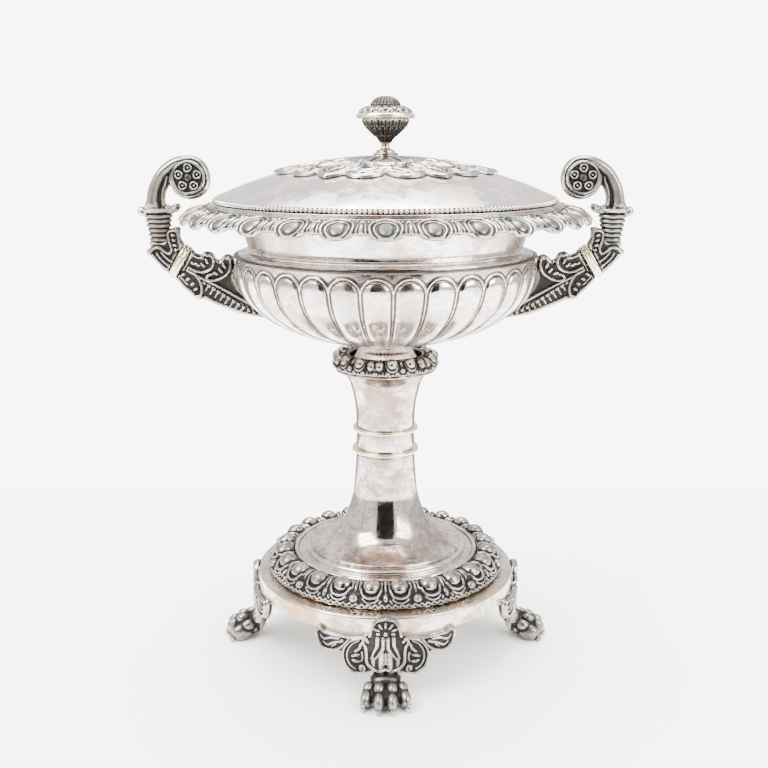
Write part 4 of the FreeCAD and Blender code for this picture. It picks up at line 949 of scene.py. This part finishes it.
def elbow_relief(u, v):
    """Scroll with scales up its back, and lines that run down to the collar."""
    parts, line, drop = relief_on(u, v)
    line([(98.4, 208.4), (101.2, 208.7), (103.0, 207.4), (102.7, 204.4), (101.4, 200.5), (102.4, 197.7),
        (104.6, 198.8), (107.2, 200.6), (110.2, 199.9), (111.8, 198.2)], 0.75, 1.5)
    for centre in ((100.6, 206.4), (100.3, 204.0), (99.9, 201.7), (99.3, 199.4)):
        drop(centre, (1.2, 0.85), 1.2, 10)
    line([(98.0, 206.4), (97.9, 203.9), (96.9, 201.4)], 0.5, 0.8)
    for start, end in (((101.0, 193.4), (106.2, 198.2)), ((102.6, 191.4), (108.4, 197.6)),
            ((104.2, 190.2), (110.6, 197.0))):
        line([start, ((start[0] + end[0]) / 2 + 0.5, (start[1] + end[1]) / 2), end], 0.6, 0.9)
    return highest(*parts)


def horn_relief(u, v):
    """Smooth outer band that thins round the eye, an inner wire and a raised rim."""
    band = [(109.6, 218.6), (110.0, 222.2), (109.0, 227.4), (107.0, 231.9), (104.0, 236.0),
        (99.8, 239.2), (95.6, 241.0), (91.4, 241.6), (87.8, 240.6), (85.2, 238.2), (83.6, 234.6),
        (83.6, 231.0), (85.2, 227.4), (88.3, 225.0), (92.0, 224.1), (95.8, 225.1), (98.8, 227.6),
        (100.2, 230.6), (100.4, 234.0), (99.2, 237.0)]
    parts, line, _ = relief_on(u, v)
    line(band, (3.2, 0.7), 2.7, 6)
    line([(104.4, 219.4), (104.9, 223.6), (104.2, 227.6), (102.8, 231.2), (102.2, 233.8)], 0.7, 1.0)
    return highest(*parts)


def oval_band(name, side_turn):
    """Gilt double band round the arm."""
    node = f"handle_collar_{name}"
    low, high = (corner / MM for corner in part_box(node))
    centre = np.array([abs(low.x + high.x) / 2, 0, (low.z + high.z) / 2])
    tilt = math.radians(COLLAR_TILT)
    arm = np.array([math.sin(tilt), 0, math.cos(tilt)])
    across = np.array([math.cos(tilt), 0, -math.sin(tilt)])
    s = np.linspace(-2.0, 2.0, 25)
    ridge = 0.75 * np.maximum(bump(s + 1.0, 1.0, 1), bump(s - 1.0, 1.0, 1))
    phi = np.linspace(0, 2 * np.pi, 96, endpoint=False)
    c, sn = np.cos(phi), np.sin(phi)
    oval = (np.abs(c) ** 2.5 + np.abs(sn) ** 2.5) ** (-1 / 2.5)
    steps = np.r_[s, 2.0, -2.0]
    sizes = np.r_[ridge - 0.45, -3.4, -3.4]
    a = (8.3 + sizes)[None, :] * (oval * c)[:, None]
    b = (6.0 + sizes)[None, :] * (oval * sn)[:, None]
    points = centre + a[..., None] * across + steps[None, :, None] * arm
    points[..., 1] += b
    turn = math.cos(math.radians(side_turn))
    points = points.reshape(-1, 3) * (turn, turn, 1)
    mesh_piece(f"{node}_piece", points, grid_faces(96, len(steps), True, True), "bowl", [node], GILT,
        cavity=0)


def make_ribs(name, side_turn):
    """Ribbed stem with its calyx, and the curled leaves under the horn."""
    axis = STEM_AXIS
    heights = np.linspace(201.5, 216.2, 75)
    growth = 3.3 + (heights - 203) / 13.2 * 2.4
    wave = 1.25 * np.abs(np.sin((heights - 203) / 2.2 * np.pi)) ** 0.6 * (heights > 203) - 0.1
    cup = [(5.6, 216.3), (6.6, 216.9), (7.9, 217.6), (8.4, 218.4), (7.8, 218.9), (0.0, 218.9)]
    line = joined([(0, 201.5)], np.c_[growth + wave, heights], cup)
    theta = np.linspace(0, 2 * np.pi, 64, endpoint=False)
    flat = 0.86
    x = axis + line[None, :, 0] * np.cos(theta)[:, None]
    y = flat * line[None, :, 0] * np.sin(theta)[:, None]
    z = np.broadcast_to(line[None, :, 1], x.shape)
    turn = math.cos(math.radians(side_turn))
    points = np.stack([x * turn, y * turn, z], axis=-1).reshape(-1, 3)
    mesh_piece(f"handle_ribs_{name}", points, grid_faces(64, len(line), True, False), "bowl",
        [f"handle_stem_{name}"], DARK_CAST, weld=True, cavity=8)
    lips = (("inner", [(104.0, 216.4), (101.0, 216.2), (98.2, 217.4), (97.0, 219.4), (98.0, 221.0),
        (99.8, 220.6), (101.6, 219.9), (104.0, 220.4)]),
        ("outer", [(111.6, 216.0), (113.8, 215.0), (116.0, 215.6), (117.0, 217.6), (116.2, 219.4),
        (114.4, 219.4), (113.2, 220.6), (111.2, 222.6), (110.4, 219.0)]))
    for side, outline in lips:
        plate_piece(f"handle_lip_{side}_{name}", [f"handle_stem_{name}"], closed_curve(outline, 5), 4.4,
            1.4, 2.2, lip_relief, DARK_CAST, side_turn, 0.3)
    curls = [(98.9, 0, 208.7), (112.2, 0, 198.3)]
    sizes = [1.5, 1.7]
    centres, radii = [], []
    for (cx, _, cz), size in zip(curls, sizes):
        for along, share in ((-3.2, 0.72), (-1.7, 0.92), (0, 1), (1.7, 0.92), (3.2, 0.72)):
            centres.append((cx * turn, along, cz))
            radii.append(size * share)
    balls(f"handle_curls_{name}", centres, radii, "bowl", [f"handle_stem_{name}"], DARK_CAST, 20, 12)


def lip_relief(u, v):
    """Fine veins that run up to the lip of a curled leaf."""
    return 0.5 * np.abs(np.sin((v - 0.5 * u) * 1.9))


def rosette_points(outward, turn):
    """Points of one rosette: raised rim, recessed field, five looped petals and a boss."""
    low, high = (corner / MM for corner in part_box("rosette_right_front"))
    centre = ((low.x + high.x) / 2, (low.z + high.z) / 2)
    seat = abs(high.y)
    radius = np.r_[np.linspace(0.0, 7.9, 38), 7.95]
    theta = np.linspace(0, 2 * np.pi, 120, endpoint=False)
    u, v = radius[None, :] * np.cos(theta)[:, None], radius[None, :] * np.sin(theta)[:, None]
    parts, _, drop = relief_on(u, v)
    parts.append(bump(radius[None, :] + 0 * u - 7.2, 0.75, 1.2))
    for k in range(5):
        a = math.radians(90 + 72 * k)
        petal = (4.5 * math.cos(a), 4.5 * math.sin(a))
        parts.append(bump(np.hypot(u - petal[0], v - petal[1]) - 1.65, 0.6, 1.3))
        drop(petal, (0.8, 0.8), 1.1)
    drop((0, 0), (2.0, 2.0), 1.9)
    rise = 0.35 + highest(*parts)
    rise[:, -1] = -0.2
    c = math.cos(math.radians(turn))
    x, y = centre[0] + u, outward * (seat + rise)
    return np.stack([x * c, y * c, centre[1] + v], axis=-1).reshape(-1, 3), grid_faces(120, len(radius),
        True, False)


def make_handles():
    """Both handles, each cast part its own piece."""
    for name, turn in HANDLES.items():
        plate_piece(f"handle_bracket_{name}_piece", [f"handle_bracket_{name}"],
            closed_curve(HANDLE_BRACKET, 4), 3.6, 1.6, 2.4, handle_bracket_relief, DARK_CAST, turn)
        oval_band(name, turn)
        plate_piece(f"handle_elbow_{name}_piece", [f"handle_stem_{name}"], closed_curve(ELBOW, 4), 3.4,
            1.2, 2.6, elbow_relief, DARK_CAST, turn)
        make_ribs(name, turn)
        plate_piece(f"handle_horn_{name}_piece", [f"handle_horn_{name}"], closed_curve(HORN, 4), 2.2,
            0.6, 2.6, horn_relief, DARK_CAST, turn)
        for face in ("front", "back"):
            outward = 1 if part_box(f"rosette_{name}_{face}")[0].y > 0 else -1
            points, quads = rosette_points(outward * math.cos(math.radians(turn)), turn)
            node = f"rosette_{name}_{face}"
            mesh_piece(f"{node}_piece", points, quads, "bowl", [node], DARK_CAST, weld=True, cavity=8)


# ---------------------------------------------------------------- lid

def dome_height(radius):
    """Height of the lid's outer face over a point at this radius."""
    rise = top_of("lid_dome") - floor_of("lid_dome")
    sphere = (reach("lid_dome") ** 2 + rise ** 2) / (2 * rise)
    return top_of("lid_dome") - sphere + np.sqrt(sphere ** 2 - radius ** 2)


def mount_fields(x, y):
    """Depth inside the mount's outer edge, depth inside its openings, and its folded coordinates."""
    angle = np.mod(np.arctan2(y, x) + np.pi / 2 + np.pi / 6, np.pi / 3) - np.pi / 6
    radius = np.hypot(x, y)
    u, w = np.abs(radius * np.sin(angle)), radius * np.cos(angle)
    lobe = (1 - np.hypot((u - 8.6) / 9.0, (w - 42.9) / 8.2)) * 8.2
    c, s = math.cos(math.pi / 6), math.sin(math.pi / 6)
    pu, pw = np.abs(u * c - w * s), u * s + w * c
    point = 14.0 - np.hypot(pu + 5.0, pw - 39.8)
    edge = np.maximum.reduce([43.6 - radius, lobe, point])

    def hole(a, b, centre, radii, turn=0.0):
        ca, sa = math.cos(math.radians(turn)), math.sin(math.radians(turn))
        du, dw = a - centre[0], b - centre[1]
        return (1 - np.hypot((du * ca + dw * sa) / radii[0], (-du * sa + dw * ca) / radii[1])) * min(radii)

    holes = [hole(u, w, (4.3, 45.4), (2.1, 1.5), 10), hole(u, w, (9.6, 46.0), (2.3, 1.6), -4),
        hole(u, w, (0, 42.2), (2.2, 0.95)), hole(u, w, (0, 39.6), (1.6, 0.9)),
        hole(u, w, (12.6, 42.6), (1.0, 1.7), -20), hole(pu, pw, (0, 42.4), (1.7, 5.6)),
        hole(pu, pw, (3.6, 34.6), (0.9, 2.6), 25), hole(u, w, (0, 24.5), (1.2, 2.8)),
        hole(pu, pw, (0, 24.5), (1.2, 2.8)), hole(u, w, (5.6, 33.2), (0.9, 2.3), 30)]
    return edge, np.maximum.reduce(holes), u, w, pu, pw, radius


def mount_relief(x, y):
    """Nested wires along the lobes, crossing arches and a sunburst of leaves in the middle."""
    edge, holes, u, w, pu, pw, radius = mount_fields(x, y)
    parts, line, _ = relief_on(u, w)
    for inward, width, height, start in ((0.8, 0.7, 0.75, 36), (2.3, 0.55, 0.65, 38),
            (3.6, 0.45, 0.55, 38.5)):
        parts.append(bump(edge - inward, width, height) * (radius > start))
    parts.append(bump(holes + 0.75, 0.55, 0.6))
    for points, width, height in (
            ([(0, 51.6), (5.6, 46.2), (8.2, 40.6), (8.8, 35.6), (6.4, 30.6), (3.0, 27.5)], 0.7, 1.0),
            ([(0, 48.4), (4.0, 44.6), (6.2, 40.2), (6.8, 35.8), (4.8, 31.6), (1.4, 28.4)], 0.55, 0.8),
            ([(0, 46.0), (2.6, 43.2), (4.2, 39.6), (4.4, 36.2), (2.4, 32.8), (0, 31.4)], 0.5, 0.7)):
        parts.append(wire(pu, pw, points, width, height))
    line([(0, 37.2), (3.2, 38.4), (7.2, 40.6), (12.0, 42.0)], 0.55, 0.8)
    line([(0, 33.6), (3.0, 31.6), (5.4, 28.0)], 0.6, 0.8)
    leaves = np.abs(np.sin(np.arctan2(y, x) * 12))
    parts.append(0.75 * np.sqrt(leaves) * round_step(radius, 6.5, 9) * round_step(27 - radius, 0, 3))
    parts.append(bump(radius - 28.6, 0.6, 0.7))
    parts.append(bump(radius - 7.2, 0.7, 0.8))
    return highest(*parts)


def make_mount():
    """Pierced casting that follows the dome."""
    span = reach("lid_mount") + 0.6

    def inside(x, y):
        edge, holes, *_ = mount_fields(x, y)
        return np.minimum(np.minimum(edge, -holes), np.hypot(x, y) - 1.4)

    u, v, faces, rim_edges = cut_sheet((-span, -span), (span, span), 0.46, inside)
    radius = np.hypot(u, v)
    lower = dome_height(radius) + 0.05
    rise = 0.5 + mount_relief(u, v) * np.clip(inside(u, v) / 0.4, 0, 1)
    flare = 0.5 * round_step(radius, 40, 53)
    points, quads = two_sided(u, v, faces, rim_edges, lambda a, b: np.c_[u, v, lower + rise + flare],
        lambda a, b: np.c_[u, v, lower + flare * 0.8])
    mesh_piece("lid_mount_piece", points, quads, "lid", ["lid_mount"], CAST, weld=True, cavity=14)


def make_finial_cup():
    """Cup with a row of short leaves round its foot and two rows round its belly."""
    foot, calyx, belly, lip = profile("finial_cup", (8.9, 0), (7.4, 2.6), (2.6, 7.0), (0.1, 11.4))
    straight = np.linspace(calyx, belly, 18)
    outer = joined([foot], bowed(foot, calyx, 6.0, -1, 12)[1:], straight[1:],
        bowed(belly, lip, 9.0, 1, 18)[1:], profile("finial_cup", (9.4, 11.4), (9.4, 0)))

    def petals(theta):
        height = (outer[:, 1] - foot[1]) / 11.4
        rows = np.where(height < 0.3, 10, 20)[None, :]
        phase = np.where((height > 0.3) & (height < 0.68), 0.5, 0.0)[None, :]
        x = np.abs(np.mod(theta[:, None] * rows / (2 * np.pi) + phase, 1) - 0.5) * 2
        live = (height > 0.03) & (height < 0.97) & (outer[:, 0] > 2.0)
        tip = np.where(height < 0.3, height / 0.3, np.where(height < 0.68, (height - 0.3) / 0.38,
            (height - 0.68) / 0.32))
        width = np.sqrt(np.clip(1 - tip ** 3, 0, 1))[None, :]
        leaf = np.sqrt(np.clip(1 - (x / np.maximum(width, 0.05)) ** 2, 0, 1))
        vein = 0.25 * (x < 0.14)
        return 0.65 * (leaf - vein) * live[None, :]

    turned("finial_cup_piece", outer, "lid", ["finial_cup"], DARK_CAST, 320, petals, 8)


def make_finial_dome():
    """Dome with pearls and leaves round its foot and ribs over its crown."""
    foot, cove, button, top = profile("finial_dome", (0.1, 0), (5.2, 2.9), (5.4, 3.5), (11.5, 7.65))
    line = joined(profile("finial_dome", (12.4, 0)), bowed(foot, cove, 5.5, 1, 16),
        bowed(button, top, 7.0, 1, 22), profile("finial_dome", (12.4, 7.7)))

    def crown(theta):
        r, z = line[:, 0], line[:, 1] - foot[1]
        ribs = np.abs(np.cos(theta[:, None] * 12)) ** 0.5
        top_ribs = 0.55 * (ribs - 0.4) * ((z > 3.6) & (r > 0.8))[None, :] * np.clip(r / 4, 0, 1)[None, :]
        x = np.abs(np.mod(theta[:, None] * 16 / (2 * np.pi), 1) - 0.5) * 2
        slope = np.hypot(x * r[None, :] * np.pi / 16 / 1.5, (z[None, :] - 1.1) / 1.0)
        pearls = 0.85 * np.sqrt(np.clip(1 - slope ** 2, 0, 1))
        x2 = 1 - x
        leaf = 0.5 * np.sqrt(np.clip(1 - (x2 * 1.2) ** 2, 0, 1)) * ((z > 1.4) & (z < 3.0))[None, :]
        return top_ribs + np.maximum(pearls, leaf) * (z < 3.1)[None, :]

    theta = np.linspace(0, 2 * np.pi, 320, endpoint=False)
    normals = section_normals(line)
    lift = crown(theta)
    r = np.maximum(line[None, :, 0] + normals[None, :, 0] * lift, 0)
    r[:, [0, -1]] = 0
    z = line[None, :, 1] + normals[None, :, 1] * lift
    mesh_piece("finial_dome_piece", turned_points(theta, r, z), grid_faces(320, len(line), True, False),
        "lid", ["finial_dome"], DARK_CAST, weld=True, cavity=8)


def make_finial():
    """Turned base, leafy cup, gilt ring and ribbed dome."""
    base = profile("finial_base", (4.5, 0), (0.5, 0), (0.05, 0.35), (0.05, 0.9), (0.6, 1.2),
        (1.5, 1.25), (1.6, 2.3), (2.6, 2.5), (3.6, 3.0), (4.0, 4.0), (3.9, 5.3), (4.5, 5.3))
    ring_piece("finial_base", base, DRUM, "lid", 96, 0.2)
    make_finial_cup()
    inner, start = profile("finial_ring", (11.0, 0), (0.9, 0))
    ring_piece("finial_ring", joined([inner], bowed(start, profile("finial_ring", (0.9, 2.3))[0], 1.2,
        1), profile("finial_ring", (11.0, 2.3))), GILT, "lid", 144, 0.1)
    make_finial_dome()


def make_lid():
    """Beaded rim, dome, bezel, mount and finial."""
    foot = profile("lid_bead_rim", (3.5, 0), (1.0, 0))
    band = bowed(foot[1], profile("lid_bead_rim", (1.0, 2.3))[0], 1.16, 1)
    # The rim behind the beads is painted dark as the shadow in the gaps between them.
    ring_piece("lid_bead_rim", joined(foot[:1], band + (-0.9, 0), profile("lid_bead_rim", (3.5, 2.3))),
        SHADED_RING, "lid", radius=0.1)
    beads = round_places(reach("lid_bead_rim") - 1.0, floor_of("lid_bead_rim") + 1.2, LID_BEADS)
    balls("lid_beads", beads, [0.98] * LID_BEADS, "lid", ["lid_bead_rim"], LID, 14, 9)
    radii = np.r_[79.85, np.linspace(79.0, 1.4, 60)]
    outer = np.c_[radii, dome_height(radii)]
    inner = np.c_[np.linspace(1.4, 76.9, 30), dome_height(np.linspace(1.4, 76.9, 30)) - 1.2]
    inner[-1, 1] = floor_of("lid_dome")
    dome = turned("lid_dome_piece", np.vstack([profile("lid_dome", (0.0, 0.0)), outer, inner]), "lid",
        ["lid_dome"], LID, 360, None, 0)
    # Painted shade with tarnish on the dome under the mount, dark through its openings: these points are
    # marked as deep recesses.
    place = np.array([tuple(vertex.co) for vertex in dome.data.vertices]) / MM
    shaded_under_mount = mount_fields(place[:, 0], place[:, 1])[0] > 0.9
    dome.data.attributes["cavity"].data.foreach_set("value", np.where(shaded_under_mount, 0.75, 0.5).astype(np.float32))
    ring_piece("lid_bezel", profile("lid_bezel", (1.2, 0), (0, 0), (0, 12.2), (1.2, 12.2)), LID, "lid",
        radius=0.3)
    make_mount()
    make_finial()


# ---------------------------------------------------------------- the frame's own nodes

def dress_frame():
    """Fasteners and other inner nodes keep the frame's own shapes, with these finishes."""
    for name in ("tie_rod", "tie_nut", "tie_bridge", "foot_nuts", "handle_pins", "rosette_rivets",
            "finial_stud", "finial_nut", "finial_washer"):
        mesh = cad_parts[name].data
        mesh.materials.clear()
        mesh.materials.append(BRASS)


make_plinth()
make_stem()
make_feet()
make_bowl()
make_handles()
make_lid()
dress_frame()


# ---------------------------------------------------------------- table, light and camera

def stage_material(name, color, roughness, specular=0.3):
    """Paper or card with a slight grain."""
    material, tree, add = node_tree(name)
    output = add("ShaderNodeOutputMaterial")
    place = add("ShaderNodeTexCoord").outputs["Object"]
    grain = noise(tree, add, place, 40.0, 3.0, 0.5, 0.3, 0.7)
    tone = mixed(tree, add, grain, color, tuple(part * 0.985 for part in color))
    surface = add("ShaderNodeBsdfPrincipled", in_Roughness=roughness, in_Specular_IOR_Level=specular)
    tree.links.new(tone, surface.inputs["Base Color"])
    tree.links.new(surface.outputs["BSDF"], output.inputs["Surface"])
    return material


def panel(name, corners, material):
    """A flat stage panel from four corners in metres."""
    mesh = bpy.data.meshes.new(name)
    mesh.from_pydata(corners, [], [(0, 1, 2, 3)])
    mesh.materials.append(material)
    piece = bpy.data.objects.new(name, mesh)
    bpy.context.scene.collection.objects.link(piece)
    return piece


def soft_light(name, place, target, size, power):
    lamp = bpy.data.lights.new(name, "AREA")
    lamp.shape = "RECTANGLE"
    lamp.size, lamp.size_y = size
    lamp.energy = power
    piece = bpy.data.objects.new(name, lamp)
    piece.location = place
    piece.rotation_euler = (Vector(target) - Vector(place)).to_track_quat("-Z", "Y").to_euler()
    bpy.context.scene.collection.objects.link(piece)
    return piece


def make_world():
    """Even pale surroundings, darker below, brighter where the camera looks straight at them."""
    world, tree, add = node_tree("studio", bpy.data.worlds)
    link = tree.links.new
    place = add("ShaderNodeTexCoord")
    split = add("ShaderNodeSeparateXYZ")
    link(place.outputs["Generated"], split.inputs["Vector"])
    ramp = add("ShaderNodeValToRGB")
    below, level = ramp.color_ramp.elements
    below.position, below.color = 0.30, (0.30, 0.29, 0.28, 1)
    level.position, level.color = 0.49, (0.90, 0.90, 0.905, 1)
    lift = add("ShaderNodeMapRange", in_From_Min=-1)
    link(split.outputs["Z"], lift.inputs["Value"])
    link(lift.outputs["Result"], ramp.inputs["Fac"])
    seen = add("ShaderNodeLightPath")
    strength = add("ShaderNodeMapRange", in_To_Min=ROOM_ON_TABLE, in_To_Max=ROOM_IN_SILVER)
    link(seen.outputs["Is Glossy Ray"], strength.inputs["Value"])
    glow = add("ShaderNodeBackground")
    link(ramp.outputs["Color"], glow.inputs["Color"])
    link(strength.outputs["Result"], glow.inputs["Strength"])
    wall = add("ShaderNodeBackground", in_Color=(0.99, 0.99, 1.0, 1), in_Strength=WALL_GLOW)
    either = add("ShaderNodeMixShader")
    link(seen.outputs["Is Camera Ray"], either.inputs["Fac"])
    link(glow.outputs["Background"], either.inputs[1])
    link(wall.outputs["Background"], either.inputs[2])
    output = add("ShaderNodeOutputWorld")
    link(either.outputs["Shader"], output.inputs["Surface"])
    bpy.context.scene.world = world


def make_stage():
    """Pale table that ends behind the bowl, soft lights, and dark cards that the silver mirrors."""
    paper = stage_material("table_paper", (0.92, 0.92, 0.925), 0.3, specular=0.35)
    panel("table", [(-1.6, -1.6, 0), (1.6, -1.6, 0), (1.6, 0.223, 0), (-1.6, 0.223, 0)], paper)
    black = stage_material("dark_card", (0.004, 0.0035, 0.003), 0.9, specular=0.0)
    panel("card_front", [(-0.42, -0.80, 0.05), (0.42, -0.80, 0.05), (0.38, -0.80, 1.15),
        (-0.38, -0.80, 1.15)], black)
    grey = stage_material("grey_card", (0.16, 0.155, 0.15), 0.6)
    panel("card_left", [(-1.2, -0.5, 0.05), (-1.2, -0.3, 0.05), (-1.2, -0.3, 0.7), (-1.2, -0.5, 0.7)], grey)
    panel("card_right", [(1.2, -0.6, 0.05), (1.2, -0.4, 0.05), (1.2, -0.4, 0.7), (1.2, -0.6, 0.7)], grey)
    for name, (place, target, size, power) in LIGHTS.items():
        soft_light(name, place, target, size, power)


def make_camera():
    lens = bpy.data.cameras.new("camera")
    lens.lens = 50
    lens.sensor_width = 36
    eye = bpy.data.objects.new("camera", lens)
    eye.location = EYE_PLACE
    eye.rotation_euler = (math.radians(90 - EYE_TILT), 0, 0)
    bpy.context.scene.collection.objects.link(eye)
    bpy.context.scene.camera = eye


make_world()
make_stage()
make_camera()
